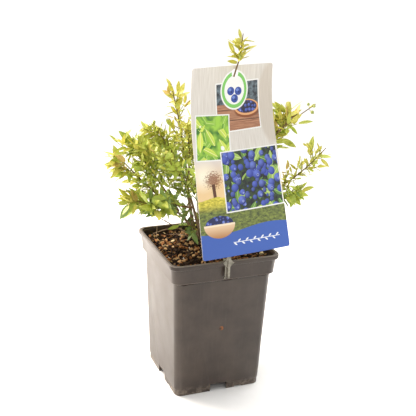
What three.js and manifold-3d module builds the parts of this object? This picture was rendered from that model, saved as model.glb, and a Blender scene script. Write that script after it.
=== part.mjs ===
// A young highbush blueberry in a square plastic nursery pot, with the grower's picture card.
// Millimetres, +Z up. The origin is the middle of the pot's underside and the pot's front faces -Y.
// The bush is a clump of canes. Each cane and bough is one tapering limb, and each mass of foliage
// is twigs and leaves fused into one solid that keeps to its own share of the crown.
import * as THREE from "three";
import { mergeVertices } from "three/addons/utils/BufferGeometryUtils.js";
import Module from "manifold-3d";

const wasm = await Module();
wasm.setup();

// ---- Driving dimensions -------------------------------------------------------------------
const POT_HEIGHT = 194;
const RIM_HALF = 75; // half the width across the rolled lip: a 15 cm pot
const LIP_HEIGHT = 6;
const LIP_WIDTH = 4.4;
const BAND_HEIGHT = 27; // the straight collar under the lip
const BAND_TOP_HALF = 72.2;
const BAND_FOOT_HALF = 70.7;
const BODY_TOP_HALF = 66.8;
const BODY_FOOT_HALF = 60.3;
const CORNER_RADIUS = 10.8;
const WALL = 1.6;
const FLOOR_Z = 7; // underside of the raised floor, above the surface the pot stands on
const FLOOR_THICK = 1.8;
const NOTCH_WIDTH = 24; // drainage notch in the middle of each side
const NOTCH_HEIGHT = 11;
const SIDE_NOTCH_WIDTH = 11;
const SIDE_NOTCH_HEIGHT = 2.4;
const CENTRE_PAD_RADIUS = 17; // the moulding's gate pad, which also stands on the ground
const NOTCH_DEPTH = 16;
const SIDE_NOTCH_GAP = 11.5; // from the middle notch to the shallow one beside it
const DRAIN_RADIUS = 5;
const DRAIN_CIRCLE = 38; // the four drain holes are this far from the middle
const GAP = 0.3; // clearance between neighbouring solids

const SOIL_Z = 186; // ground level at the foot of the bush
const SOIL_FALL = 3.5; // how far the compost sinks towards the wall
const FOOT = new THREE.Vector3(6, 24, SOIL_Z); // middle of the clump of canes
const FOOT_RING = 11; // the canes leave the ground on a ring of this radius

// The card is a little wider at its foot. It leans back, and its head curls forward again.
const CARD = { foot: 125, head: 111.5, height: 235.3, thick: 0.8, corner: 3, lean: 16.1, yaw: 4, roll: 1.5 };
const CARD_CURL = { from: 0.65, forward: 16.8, bowFoot: 2, bowHead: 6 };
const CARD_FOOT = new THREE.Vector3(26.3, -74.9, 202.1); // middle of the card's lower edge
const CARD_HOLE = { across: 0.2, below: 9, radius: 5, sides: 14 };
const CLIP_X = -0.5;

const LEAF = { length: 24, width: 8, thick: 0.9, cup: 1.4 };
const LEAF_ANGLE = 50; // between a leaf and its twig, in degrees
const LEAF_TURN = 144; // two turns for five leaves
const LAST_LEAF = 0.95; // the end leaf's root, as a share of its twig
const LAST_ANGLE = 12;
const LAST_SIZE = 0.85;
const PACE = { stem: 15, twig: 11 }; // distance from leaf to leaf
const TWIG_TURN = 137.5;
const TWIG_RADII = [0.95, 0.7];

const rad = THREE.MathUtils.degToRad;
const UP = new THREE.Vector3(0, 0, 1);

// A place in the crown: compass heading in degrees from +X, reach from the foot, rise above it.
const place = (heading, reach, rise) =>
  new THREE.Vector3(
    FOOT.x + reach * Math.cos(rad(heading)),
    FOOT.y + reach * Math.sin(rad(heading)),
    FOOT.z + rise,
  );

// ---- The limbs and the masses that they carry ---------------------------------------------
// A cane stands on the ground and ends at its fork. A bough leaves its cane just below that fork.
// from: the limb it grows on; to: [heading, reach, rise] of its end; radii at its two ends.
const CANES = {
  cane_left: { base: 150, to: [156, 27, 92], radii: [2.6, 1.7] },
  cane_left_low: { base: 190, to: [170, 44, 46], radii: [2.3, 1.5] },
  cane_front_left: { base: 230, to: [208, 28, 60], radii: [2.3, 1.5] },
  cane_front: { base: 268, to: [276, 20, 74], radii: [2.1, 1.4] },
  cane_leader: { base: 306, to: [318, 17, 118], radii: [2.6, 1.6] },
  cane_right_low: { base: 342, to: [336, 56, 50], radii: [2.4, 1.5] },
  cane_right: { base: 20, to: [348, 44, 86], radii: [2.5, 1.7] },
  cane_back_right: { base: 62, to: [46, 34, 64], radii: [2.4, 1.6] },
  cane_back: { base: 106, to: [92, 30, 76], radii: [2.5, 1.6] },
};

const BOUGHS = {
  bough_left_second: { from: "cane_left", to: [150, 42, 108], radii: [1.6, 1.3] },
  bough_left_inner: { from: "cane_left", to: [184, 26, 112], radii: [1.5, 1.2] },
  bough_left_mid: { from: "cane_left_low", to: [176, 58, 76], radii: [1.5, 1.2] },
  bough_left_low: { from: "cane_left_low", to: [182, 62, 52], radii: [1.4, 1.1] },
  bough_front_low: { from: "cane_front_left", to: [200, 50, 60], radii: [1.5, 1.2] },
  bough_front_right: { from: "cane_front", to: [318, 36, 88], radii: [1.4, 1.1] },
  bough_centre: { from: "cane_leader", to: [24, 16, 134], radii: [1.6, 1.3] },
  bough_right_far: { from: "cane_right_low", to: [337, 80, 68], radii: [1.5, 1.2] },
  bough_right_cluster: { from: "cane_right", to: [350, 60, 104], radii: [1.6, 1.3] },
  bough_back_side: { from: "cane_back_right", to: [26, 56, 62], radii: [1.6, 1.3] },
  bough_back_low: { from: "cane_back_right", to: [64, 54, 60], radii: [1.6, 1.3] },
  bough_back_left: { from: "cane_back", to: [118, 46, 84], radii: [1.6, 1.3] },
};

// from: the limb whose tip the mass grows on; to: its furthest tip; twigs and span: how many side
// twigs it has and how long they are.
const MASSES = {
  foliage_left_leader: { from: "cane_left", to: [159, 50, 213], twigs: 5, span: 22, seed: 11 },
  foliage_left_second: { from: "bough_left_second", to: [146, 75, 153], twigs: 6, span: 30, seed: 12 },
  foliage_left_inner: { from: "bough_left_inner", to: [187, 32, 166], twigs: 5, span: 24, seed: 13 },
  foliage_left_mid: { from: "bough_left_mid", to: [174, 103, 143], twigs: 6, span: 32, seed: 14 },
  foliage_left_far: { from: "cane_left_low", to: [164, 125, 126], twigs: 6, span: 30, seed: 32 },
  foliage_left_low: { from: "bough_left_low", to: [179, 112, 68], twigs: 5, span: 28, seed: 16 },
  foliage_front_left: { from: "cane_front_left", to: [206, 88, 138], twigs: 6, span: 34, seed: 17 },
  foliage_front_low: { from: "bough_front_low", to: [197, 96, 60], twigs: 4, span: 26, seed: 18 },
  foliage_front: { from: "cane_front", to: [277, 38, 137], twigs: 4, span: 28, seed: 19 },
  foliage_front_right: { from: "bough_front_right", to: [326, 72, 133], twigs: 4, span: 28, seed: 20 },
  foliage_top: { from: "cane_leader", to: [284, 64, 287], twigs: 4, span: 22, seed: 21, threaded: true },
  foliage_centre: { from: "bough_centre", to: [38, 33, 188], twigs: 5, span: 30, seed: 22 },
  foliage_right_low: { from: "cane_right_low", to: [329, 129, 82], twigs: 5, span: 30, seed: 23 },
  foliage_right_far: { from: "bough_right_far", to: [336, 155, 137], twigs: 5, span: 26, seed: 24 },
  foliage_right: { from: "cane_right", to: [342, 139, 191], twigs: 3, span: 22, seed: 25 },
  foliage_right_cluster: { from: "bough_right_cluster", to: [348, 117, 174], twigs: 6, span: 30, seed: 26 },
  foliage_back_side: { from: "bough_back_side", to: [24, 112, 66], twigs: 5, span: 34, seed: 27 },
  foliage_back_right: { from: "cane_back_right", to: [38, 112, 128], twigs: 6, span: 36, seed: 28 },
  foliage_back_low: { from: "bough_back_low", to: [68, 108, 58], twigs: 5, span: 36, seed: 29 },
  foliage_back: { from: "cane_back", to: [74, 98, 140], twigs: 6, span: 36, seed: 30 },
  foliage_back_left: { from: "bough_back_left", to: [122, 98, 112], twigs: 6, span: 36, seed: 31 },
};

// ---- Colours and finishes -----------------------------------------------------------------
const FINISH = {
  pot: { color: 0x5e554f, roughness: 0.55 },
  soil: { color: 0x4a3222, roughness: 1 },
  bark: { color: 0x6e5a44, roughness: 0.9 },
  leaf: { color: 0x8fa336, roughness: 0.6 },
  card: { color: 0xe9e6df, roughness: 0.4 },
  clip: { color: 0x9a9486, roughness: 0.5 },
};

const part = new THREE.Group();

function addMesh(name, geometry, finish) {
  const material = new THREE.MeshStandardMaterial({ ...FINISH[finish], metalness: 0 });
  const mesh = new THREE.Mesh(geometry, material);
  mesh.name = name;
  part.add(mesh);
  return mesh;
}

// ---- Solids -------------------------------------------------------------------------------
function solidOf(geometry) {
  const bare = new THREE.BufferGeometry();
  const flat = geometry.index ? geometry.toNonIndexed() : geometry;
  bare.setAttribute("position", flat.getAttribute("position").clone());
  const merged = mergeVertices(bare, 1e-4);
  return new wasm.Manifold(
    new wasm.Mesh({
      numProp: 3,
      vertProperties: merged.attributes.position.array,
      triVerts: new Uint32Array(merged.index.array),
    }),
  );
}

function geometryOf(solid) {
  const mesh = solid.getMesh();
  const geometry = new THREE.BufferGeometry();
  geometry.setAttribute("position", new THREE.BufferAttribute(mesh.vertProperties, 3));
  geometry.setIndex(new THREE.BufferAttribute(mesh.triVerts, 1));
  geometry.computeVertexNormals();
  return geometry;
}

const unite = (solids) => solids.reduce((sum, solid) => sum.add(solid));

const SLIVER = 0.02; // edges shorter than this are closed up

// The largest body of a solid: a loose scrap is dropped.
function mainBody(solid) {
  const bodies = solid.simplify(SLIVER).decompose();
  return bodies.reduce((best, body) => (body.volume() > best.volume() ? body : best));
}

// A closed skin over rings that all have the same number of points, counter-clockwise from above.
function loft(rings) {
  const count = rings[0].length;
  const points = rings.flat().flatMap((p) => [p.x, p.y, p.z]);
  const index = [];
  for (let r = 0; r + 1 < rings.length; r++) {
    for (let i = 0; i < count; i++) {
      const a = r * count + i;
      const b = r * count + ((i + 1) % count);
      index.push(a, b, b + count, a, b + count, a + count);
    }
  }
  const last = (rings.length - 1) * count;
  for (let i = 1; i + 1 < count; i++) {
    index.push(0, i + 1, i, last, last + i, last + i + 1);
  }
  const geometry = new THREE.BufferGeometry();
  geometry.setAttribute("position", new THREE.Float32BufferAttribute(points, 3));
  geometry.setIndex(index);
  return geometry;
}

const CORNER_STEPS = 3;

// A square outline with round corners, in a level plane.
function squareRing(half, z, radius = CORNER_RADIUS) {
  const ring = [];
  for (let corner = 0; corner < 4; corner++) {
    const middle = corner * 90 + 45;
    const cx = Math.sign(Math.cos(rad(middle))) * (half - radius);
    const cy = Math.sign(Math.sin(rad(middle))) * (half - radius);
    for (let step = 0; step <= CORNER_STEPS; step++) {
      const angle = rad(corner * 90 + (90 * step) / CORNER_STEPS);
      ring.push(new THREE.Vector3(cx + radius * Math.cos(angle), cy + radius * Math.sin(angle), z));
    }
  }
  return ring;
}

const box = (sx, sy, sz, x, y, z) => solidOf(new THREE.BoxGeometry(sx, sy, sz).translate(x, y, z));

function disc(radius, z0, z1, x, y, sides) {
  const cylinder = new THREE.CylinderGeometry(radius, radius, z1 - z0, sides);
  return solidOf(cylinder.rotateX(Math.PI / 2).translate(x, y, (z0 + z1) / 2));
}

// ---- Pot ----------------------------------------------------------------------------------
const BAND_FOOT_Z = POT_HEIGHT - BAND_HEIGHT;
const LIP_FOOT_Z = POT_HEIGHT - LIP_HEIGHT;
const FLOOR_TOP = FLOOR_Z + FLOOR_THICK;
const LIP_EDGE = 1.2; // the lip's rounded edge
const LIP_DRAFT = 0.6; // the lip's inner edge leans out by this much
const COLLAR_EDGE = 0.8;
const FOOT_EDGE = 1.2;
const LEDGE = { z: 9, half: 0.5, inset: 0.2, out: 0.4 }; // small step above the pot's foot
const PAD_SIDES = 20;
const DRAIN_SIDES = 10;

// Half the inner width of the pot at height z, in the body under the collar.
const innerHalf = (z) =>
  THREE.MathUtils.lerp(BODY_FOOT_HALF, BODY_TOP_HALF, z / BAND_FOOT_Z) - WALL;

const INNER = [
  [innerHalf(FLOOR_TOP), FLOOR_TOP],
  [innerHalf(BAND_FOOT_Z), BAND_FOOT_Z],
  [BAND_FOOT_HALF - WALL, BAND_FOOT_Z + 2 * WALL],
  [RIM_HALF - LIP_WIDTH, LIP_FOOT_Z],
];

function pot() {
  const outside = loft([
    squareRing(BODY_FOOT_HALF - FOOT_EDGE, 0),
    squareRing(BODY_FOOT_HALF - LEDGE.inset, FOOT_EDGE),
    squareRing(BODY_FOOT_HALF - LEDGE.inset, LEDGE.z - LEDGE.half),
    squareRing(BODY_FOOT_HALF + LEDGE.out, LEDGE.z + LEDGE.half),
    squareRing(BODY_TOP_HALF, BAND_FOOT_Z),
    squareRing(BAND_FOOT_HALF - COLLAR_EDGE, BAND_FOOT_Z + 0.05),
    squareRing(BAND_FOOT_HALF, BAND_FOOT_Z + COLLAR_EDGE),
    squareRing(BAND_TOP_HALF, LIP_FOOT_Z - COLLAR_EDGE),
    squareRing(RIM_HALF, LIP_FOOT_Z + LIP_EDGE),
    squareRing(RIM_HALF, POT_HEIGHT - LIP_EDGE),
    squareRing(RIM_HALF - LIP_EDGE, POT_HEIGHT),
  ]);
  const top = [RIM_HALF - LIP_WIDTH + LIP_DRAFT, POT_HEIGHT + 1];
  const inside = loft([...INNER, top].map(([half, z]) => squareRing(half, z)));
  const under = loft([squareRing(BODY_FOOT_HALF - WALL, -1), squareRing(BODY_FOOT_HALF - WALL, FLOOR_Z)]);
  let shell = solidOf(outside).subtract(solidOf(inside)).subtract(solidOf(under));
  shell = shell.add(disc(CENTRE_PAD_RADIUS, 0, FLOOR_Z + FLOOR_THICK / 2, 0, 0, PAD_SIDES));
  for (const [dx, dy] of [[1, 0], [0, 1], [-1, 0], [0, -1]]) {
    const out = BODY_FOOT_HALF;
    const spans = (width) => [dx ? NOTCH_DEPTH : width, dy ? NOTCH_DEPTH : width];
    const [nx, ny] = spans(NOTCH_WIDTH);
    shell = shell.subtract(box(nx, ny, NOTCH_HEIGHT * 2, dx * out, dy * out, 0));
    const [sx, sy] = spans(SIDE_NOTCH_WIDTH);
    const shift = (NOTCH_WIDTH + SIDE_NOTCH_WIDTH) / 2 + SIDE_NOTCH_GAP;
    shell = shell.subtract(
      box(sx, sy, SIDE_NOTCH_HEIGHT * 2, dx * out - dy * shift, dy * out + dx * shift, 0),
    );
  }
  for (const turn of [45, 135, 225, 315]) {
    const x = DRAIN_CIRCLE * Math.cos(rad(turn));
    const y = DRAIN_CIRCLE * Math.sin(rad(turn));
    shell = shell.subtract(disc(DRAIN_RADIUS, -1, FLOOR_TOP + 1, x, y, DRAIN_SIDES));
  }
  return shell;
}

// ---- Compost ------------------------------------------------------------------------------
const LUMP = { height: 1.5, alongX: 0.11, alongY: 0.13, startX: 1.3, startY: -0.4 };
const LEVEL_SHARE = 0.3; // the ground is level out to this share of the rim's half width

// The surface is level round the foot of the bush and falls in shallow lumps towards the wall.
function soilHeight(x, y) {
  const out = Math.min(1, Math.hypot(x - FOOT.x, y - FOOT.y) / RIM_HALF);
  const beyond = Math.max(0, out - LEVEL_SHARE);
  const lump = Math.sin(x * LUMP.alongX + LUMP.startX) * Math.cos(y * LUMP.alongY + LUMP.startY);
  return SOIL_Z - SOIL_FALL * (beyond / (1 - LEVEL_SHARE)) ** 2 + LUMP.height * lump * beyond;
}

const SOIL_RINGS = [0.9, 0.76, 0.62, 0.48, 0.34];
const FOOT_FLAT = 16; // radius of the level ground round the canes
const SOIL_INSET = 0.7; // the lip overhangs the surface's edge by this much

function soil() {
  const wall = INNER.slice(0, 3).map(([half, z]) => squareRing(half - GAP, z + GAP));
  const rim = squareRing(RIM_HALF - LIP_WIDTH - SOIL_INSET - GAP, SOIL_Z - SOIL_FALL);
  const inward = (share) =>
    rim.map((p, i) => {
      const angle = rad(corneredAngle(i));
      const flat = new THREE.Vector3(
        FOOT.x + FOOT_FLAT * Math.cos(angle),
        FOOT.y + FOOT_FLAT * Math.sin(angle),
        SOIL_Z,
      );
      const q = flat.lerp(p, share);
      q.z = share ? soilHeight(q.x, q.y) : SOIL_Z;
      return q;
    });
  return solidOf(loft([...wall, rim, ...SOIL_RINGS.map(inward), inward(0)]));
}

// The bearing of point i of a square ring, spread evenly round its corners.
function corneredAngle(i) {
  const perCorner = CORNER_STEPS + 1;
  const corner = Math.floor(i / perCorner);
  return corner * 90 + (90 * ((i % perCorner) + 0.5)) / perCorner;
}

// ---- Picture card and its clip ------------------------------------------------------------
// The card stands on the clip at the front rim and leans back, threaded on the leading shoot.
const cardTurn = new THREE.Matrix4()
  .makeRotationZ(rad(CARD.yaw))
  .multiply(new THREE.Matrix4().makeRotationX(-rad(CARD.lean)))
  .multiply(new THREE.Matrix4().makeRotationY(-rad(CARD.roll)));

// Half the card's width, and how far its sheet lies behind its own flat plane.
const cardHalf = (up) => THREE.MathUtils.lerp(CARD.foot, CARD.head, up / CARD.height) / 2;

function sheetAt(across, up) {
  const share = up / CARD.height;
  const bow = THREE.MathUtils.lerp(CARD_CURL.bowFoot, CARD_CURL.bowHead, share);
  const side = (across / cardHalf(up)) ** 2;
  const curl = Math.max(0, (share - CARD_CURL.from) / (1 - CARD_CURL.from)) ** 2;
  return bow * (side - 0.5) - CARD_CURL.forward * curl;
}

// A point of the card from its own place: across and up the card, and out of its back.
const onCard = (across, up, back) =>
  new THREE.Vector3(across, back + sheetAt(across, up), up).applyMatrix4(cardTurn).add(CARD_FOOT);

// Where a point lies against the card: across, up and how far behind its middle sheet.
function cardPlace(point) {
  const local = point.clone().sub(CARD_FOOT).applyMatrix4(cardTurn.clone().invert());
  return { across: local.x, up: local.z, behind: local.y - sheetAt(local.x, local.z) };
}

const CARD_STEPS = 8; // facets across the bowed card
const CARD_ROWS = [0.3, 0.65, 0.77, 0.89]; // heights of its rows, as shares of its height

// The points round the card's section at a height up the card.
function cardRow(up, trim) {
  const ring = [];
  for (const side of [-1, 1]) {
    for (let i = 0; i <= CARD_STEPS; i++) {
      const share = (2 * i) / CARD_STEPS - 1;
      ring.push(onCard(-side * share * (cardHalf(up) - trim), up, (side * CARD.thick) / 2));
    }
  }
  return ring;
}

function card() {
  const { height, corner } = CARD;
  const middle = CARD_ROWS.map((share) => [share * height, 0]);
  const rows = [[0, corner], [corner, 0], ...middle, [height - corner, 0], [height, corner]];
  const { across, below, radius, sides } = CARD_HOLE;
  const hole = new THREE.CylinderGeometry(radius, radius, 2 * radius, sides);
  const at = onCard(across, height - below, 0);
  const turned = hole.applyMatrix4(cardTurn).translate(at.x, at.y, at.z);
  return solidOf(loft(rows.map((row) => cardRow(...row)))).subtract(solidOf(turned));
}

// The clip hooks over the lip at its front. A winged head holds the card's lower edge, a ribbed
// prong hangs down the collar, and a tongue stands behind the card.
const CLIP = { head: 15, neck: 0.68, wing: 7, thick: 2.6, foot: 169, inner: 188.6, skin: 1.4 };
const PRONG = { width: 6, rib: 1.3, stand: 0.9, step: 3 };
const TONGUE = { width: 5.4, thick: 1.1, root: -5, tip: 14 }; // root and tip: up the card

function clip() {
  const front = -RIM_HALF - GAP;
  const face = front - CLIP.thick;
  const back = -RIM_HALF + LIP_WIDTH + GAP;
  const over = POT_HEIGHT + GAP;
  const slab = (width, y0, y1, z0, z1, x = CLIP_X) =>
    box(width, y1 - y0, z1 - z0, x, (y0 + y1) / 2, (z0 + z1) / 2);
  const half = CLIP.head / 2;
  const wingTop = over - CLIP.skin;
  const headTop = CARD_FOOT.z - CLIP.thick;
  const corners = [
    [-half * CLIP.neck, headTop],
    [-half, wingTop],
    [-half * CLIP.neck, wingTop - CLIP.wing],
    [half * CLIP.neck, wingTop - CLIP.wing],
    [half, wingTop],
    [half * CLIP.neck, headTop],
  ];
  const outline = new THREE.Shape(corners.map(([x, z]) => new THREE.Vector2(x, z)));
  const head = new THREE.ExtrudeGeometry(outline, { depth: CLIP.thick, bevelEnabled: false });
  head.rotateX(Math.PI / 2).translate(CLIP_X, front, 0);
  const hook = CLIP.head * CLIP.neck;
  const ribAt = (PRONG.width - PRONG.rib) / 2;
  const ribFace = face - PRONG.stand;
  const solids = [
    solidOf(head),
    slab(hook, face, back + CLIP.skin, over, over + CLIP.skin),
    slab(hook, back, back + CLIP.skin, CLIP.inner, over + CLIP.skin),
    slab(PRONG.width, front - CLIP.skin, front, CLIP.foot, wingTop - CLIP.skin),
    slab(PRONG.rib, ribFace, front, CLIP.foot, over, CLIP_X + ribAt),
    slab(PRONG.rib, ribFace, front, CLIP.foot + PRONG.step, over, CLIP_X - ribAt),
    slab(PRONG.width, face, -BAND_FOOT_HALF - COLLAR_EDGE, CLIP.foot, CLIP.foot + CLIP.skin),
  ];
  const { across } = cardPlace(new THREE.Vector3(CLIP_X, front, CARD_FOOT.z));
  const behind = CARD.thick / 2 + GAP + TONGUE.thick / 2;
  const at = onCard(across, (TONGUE.tip + TONGUE.root) / 2, behind);
  const tongue = new THREE.BoxGeometry(TONGUE.width, TONGUE.thick, TONGUE.tip - TONGUE.root);
  tongue.applyMatrix4(cardTurn).translate(at.x, at.y, at.z);
  return unite([...solids, solidOf(tongue)]);
}

// ---- Limbs --------------------------------------------------------------------------------
// Every shoot is a path, which is a line of points, with a radius at each end.

// Two directions square to a direction, the first as near level as it can be.
function squareTo(direction) {
  const first = new THREE.Vector3().crossVectors(direction, UP);
  if (first.lengthSq() < 1e-6) first.set(1, 0, 0);
  first.normalize();
  return [first, new THREE.Vector3().crossVectors(first, direction).normalize()];
}

// The path of a shoot that sets out in a direction and ends at a place.
function sweep(start, direction, end, keep, steps) {
  const control = start.clone().addScaledVector(direction, start.distanceTo(end) * keep);
  return new THREE.QuadraticBezierCurve3(start, control, end).getPoints(steps);
}

// The point at a share of a path, and the direction of the path there.
function along(path, share) {
  const span = path.length - 1;
  const i = Math.min(Math.floor(share * span), span - 1);
  const point = path[i].clone().lerp(path[i + 1], share * span - i);
  return { point, ahead: path[i + 1].clone().sub(path[i]).normalize() };
}

const sampled = (path, count) =>
  Array.from({ length: count }, (_, i) => along(path, i / (count - 1)).point);

const lengthOf = (path) =>
  path.slice(1).reduce((sum, point, i) => sum + point.distanceTo(path[i]), 0);

// The closed skin of a tapering shoot of few sides. Its rings follow the path without twist, and
// a shoot with a flare stands on a level cut.
function shootSkin(path, radii, sides, flare = 0) {
  const last = path.length - 1;
  let side = squareTo(along(path, 0).ahead)[0];
  const rings = path.map((middle, s) => {
    const ahead = path[Math.min(s + 1, last)].clone().sub(path[Math.max(s - 1, 0)]).normalize();
    side = side.clone().addScaledVector(ahead, -side.dot(ahead)).normalize();
    const over = new THREE.Vector3().crossVectors(ahead, side);
    const swell = 1 + flare * Math.exp((-FLARE_FALL * s) / last);
    const radius = THREE.MathUtils.lerp(radii[0], radii[1], s / last) * swell;
    return Array.from({ length: sides }, (_, i) => {
      const angle = (2 * Math.PI * i) / sides;
      const p = middle.clone().addScaledVector(side, radius * Math.cos(angle));
      p.addScaledVector(over, radius * Math.sin(angle));
      if (flare && s === 0) p.z = middle.z;
      return p;
    });
  });
  return loft(rings);
}

const CANE_LEAN = 0.28; // how far a cane leans out as it leaves the ground
const CANE_STEPS = 5;
const CANE_SIDES = 6;
const CANE_FLARE = 0.35; // how much thicker it is where it meets the ground
const FLARE_FALL = 14; // how fast that is lost along the cane

function canePath({ base, to }) {
  const out = new THREE.Vector3(Math.cos(rad(base)), Math.sin(rad(base)), 0);
  const start = FOOT.clone().addScaledVector(out, FOOT_RING);
  start.z += GAP;
  const aim = place(...to).sub(start).setZ(0).normalize();
  const set = UP.clone().addScaledVector(aim, CANE_LEAN).normalize();
  return sweep(start, set, place(...to), 0.45, CANE_STEPS);
}

const FORK = 0.9; // a bough leaves its cane at this share of the cane's length
const BOUGH_STEPS = 3;
const BOUGH_SIDES = 5;

function boughPath({ to, radii }, cane) {
  const end = place(...to);
  const { point, ahead } = along(cane.path, FORK);
  const aim = end.clone().sub(point).normalize();
  const side = aim.clone().addScaledVector(ahead, -aim.dot(ahead)).normalize();
  const caneRadius = THREE.MathUtils.lerp(cane.radii[0], cane.radii[1], FORK);
  const clear = caneRadius + radii[0] * Math.abs(aim.dot(ahead)) + GAP;
  return sweep(point.addScaledVector(side, clear), aim, end, 0.4, BOUGH_STEPS);
}

// ---- Foliage ------------------------------------------------------------------------------
const STEM_STEPS = 7;
const TIP_GAP = GAP + 0.05; // from a limb's tip to the stem that grows on from it
const STEM_SIDES = 5;
const STEM_TIP = 0.8; // radius at its tip
const STEM_SITES = 14; // points of each stem that the crown is shared out by
const LIMB_SITES = 40;
const TWIG_STEPS = 1;
const TWIG_SIDES = 3;
const TWIG_SITES = 8;
const TWIG_SHARES = [0.08, 0.84]; // where the twigs start on their stem, and over how much of it
const TWIG_ANGLE = [48, 16]; // least angle with the stem, and how much wider it can be
const TWIG_RISE = 0.28; // how far its end turns up, as a share of its length
const TRIES = [0, 120, 240]; // a shoot without room is tried at these turns beyond its own

// Random numbers from 0 to 1 that are the same on every run.
function seeded(seed) {
  let state = seed >>> 0;
  return () => {
    state = (state + 0x6d2b79f5) | 0;
    let t = Math.imul(state ^ (state >>> 15), 1 | state);
    t = (t + Math.imul(t ^ (t >>> 7), 61 | t)) ^ t;
    return ((t ^ (t >>> 14)) >>> 0) / 4294967296;
  };
}

// A direction at an angle to a shoot, turned round it.
function branchOff(ahead, angle, turn) {
  const [first, second] = squareTo(ahead);
  return ahead
    .clone()
    .multiplyScalar(Math.cos(rad(angle)))
    .addScaledVector(first, Math.sin(rad(angle)) * Math.cos(rad(turn)))
    .addScaledVector(second, Math.sin(rad(angle)) * Math.sin(rad(turn)))
    .normalize();
}

// The leading shoot is threaded through the card's hole from behind, then stands in front of it.
const THREAD = { below: 30, behind: 19, above: 17, before: 9.5, steps: 8 };

function threaded(start, end) {
  const hole = CARD.height - CARD_HOLE.below;
  const points = [
    start,
    onCard(CARD_HOLE.across, hole - THREAD.below, THREAD.behind),
    onCard(CARD_HOLE.across, hole, 0),
    onCard(CARD_HOLE.across, hole + THREAD.above, -THREAD.before),
    end,
  ];
  return new THREE.CatmullRomCurve3(points, false, "catmullrom", 0.5).getPoints(THREAD.steps);
}

// The stem that a mass grows on, from just clear of its limb to its furthest tip.
function stemOf(spec, limb) {
  const { point, ahead } = along(limb.path, 1);
  const start = point.addScaledVector(ahead, TIP_GAP);
  const end = place(...spec.to);
  const path = spec.threaded ? threaded(start, end) : sweep(start, ahead, end, 0.45, STEM_STEPS);
  return { path, radii: [limb.radii[1], STEM_TIP] };
}

// The side twigs of a stem, which curve up towards the light. One without room is left out.
function twigsOf(stem, spec, random, fits) {
  const twigs = [];
  let turn = random() * 360;
  for (let i = 0; i < spec.twigs; i++) {
    const share = TWIG_SHARES[0] + (TWIG_SHARES[1] * (i + 0.5 * random())) / spec.twigs;
    const length = spec.span * (1.1 - 0.45 * share) * (0.75 + 0.5 * random());
    const angle = TWIG_ANGLE[0] + TWIG_ANGLE[1] * random();
    const { point, ahead } = along(stem.path, share);
    turn += TWIG_TURN;
    for (const extra of TRIES) {
      const away = branchOff(ahead, angle, turn + extra);
      const end = point.clone().addScaledVector(away, length * 0.9);
      end.z += length * TWIG_RISE;
      const path = sweep(point, away, end, 0.5, TWIG_STEPS);
      if (fits(sampled(path, TWIG_SITES))) {
        twigs.push({ path, radii: TWIG_RADII });
        break;
      }
    }
  }
  return twigs;
}

// The leaves of one shoot, set by turns along it, with one at its end.
function leavesOf(shoot, pace, random, fits) {
  const leaves = [];
  const count = Math.max(1, Math.floor(lengthOf(shoot.path) / pace));
  let turn = random() * 360;
  for (let i = 0; i <= count; i++) {
    const last = i === count;
    const { point, ahead } = along(shoot.path, last ? LAST_LEAF : (i + 0.7) / (count + 0.4));
    const angle = last ? LAST_ANGLE : LEAF_ANGLE * (0.8 + 0.4 * random());
    const lift = 0.12 - 0.3 * random();
    const size = (0.72 + 0.36 * random()) * (last ? LAST_SIZE : 1);
    turn += LEAF_TURN;
    for (const extra of TRIES) {
      const away = branchOff(ahead, angle, turn + extra);
      away.z += lift;
      const leaf = leafPoints(point, away.normalize(), size, facing(away, ahead));
      if (fits(Object.values(leaf))) {
        leaves.push(leaf);
        break;
      }
    }
  }
  return leaves;
}

// The way a leaf's upper side faces: square to the leaf and turned up to the light.
function facing(away, ahead) {
  const up = UP.clone().multiplyScalar(0.7).addScaledVector(ahead, 0.5);
  up.addScaledVector(away, -up.dot(away));
  return up.lengthSq() < 1e-4 ? squareTo(away)[1] : up.normalize();
}

// A pointed leaf of eight faces: base, tip, two sides, and the middle of its two surfaces.
function leafPoints(root, away, size, face) {
  const across = new THREE.Vector3().crossVectors(face, away);
  const cup = LEAF.cup * size;
  const at = (share, side, lift) =>
    root
      .clone()
      .addScaledVector(away, share * LEAF.length * size)
      .addScaledVector(across, side * LEAF.width * size)
      .addScaledVector(face, lift);
  return {
    base: at(0, 0, 0),
    tip: at(1, 0, -cup),
    left: at(0.45, 0.5, cup * 0.5),
    right: at(0.45, -0.5, cup * 0.5),
    over: at(0.46, 0, LEAF.thick / 2 - cup * 0.3),
    under: at(0.46, 0, -LEAF.thick / 2 - cup * 0.3),
  };
}

function leafSolid(p) {
  const ring = [p.base, p.right, p.tip, p.left];
  const faces = ring.flatMap((a, i) => {
    const b = ring[(i + 1) % 4];
    return [a, b, p.over, b, a, p.under];
  });
  return solidOf(new THREE.BufferGeometry().setFromPoints(faces));
}

// ---- The crown's rules of space -----------------------------------------------------------
const KEEP = { foliage: 1.1, limb: 1.2, card: 1.6, rim: 3, leaf: 9 };

// How near a point is to the nearest of a set of points.
function nearest(point, sites) {
  let best = Infinity;
  for (const site of sites) best = Math.min(best, site.distanceToSquared(point));
  return Math.sqrt(best);
}

// True where a point is on the mass's own side of the crown, clear of limbs and pot.
function inSpace(point, own, others, limbRoom) {
  if (nearest(point, own) + KEEP.foliage > nearest(point, others)) return false;
  for (const { points, radius } of limbRoom) {
    if (nearest(point, points) < radius + KEEP.limb) return false;
  }
  const near = Math.max(Math.abs(point.x), Math.abs(point.y)) < RIM_HALF + KEEP.rim;
  return !(near && point.z < POT_HEIGHT + KEEP.rim);
}

// True where a set of points all lie on one side of the card, or past its edges.
function clearOfCard(points) {
  const places = points.map(cardPlace);
  const overCard = ({ across, up }) =>
    Math.abs(across) < CARD.foot / 2 + KEEP.card && up > -KEEP.card && up < CARD.height + KEEP.card;
  if (!places.some(overCard)) return true;
  return places.every((p) => p.behind > KEEP.card) || places.every((p) => p.behind < -KEEP.card);
}

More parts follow.
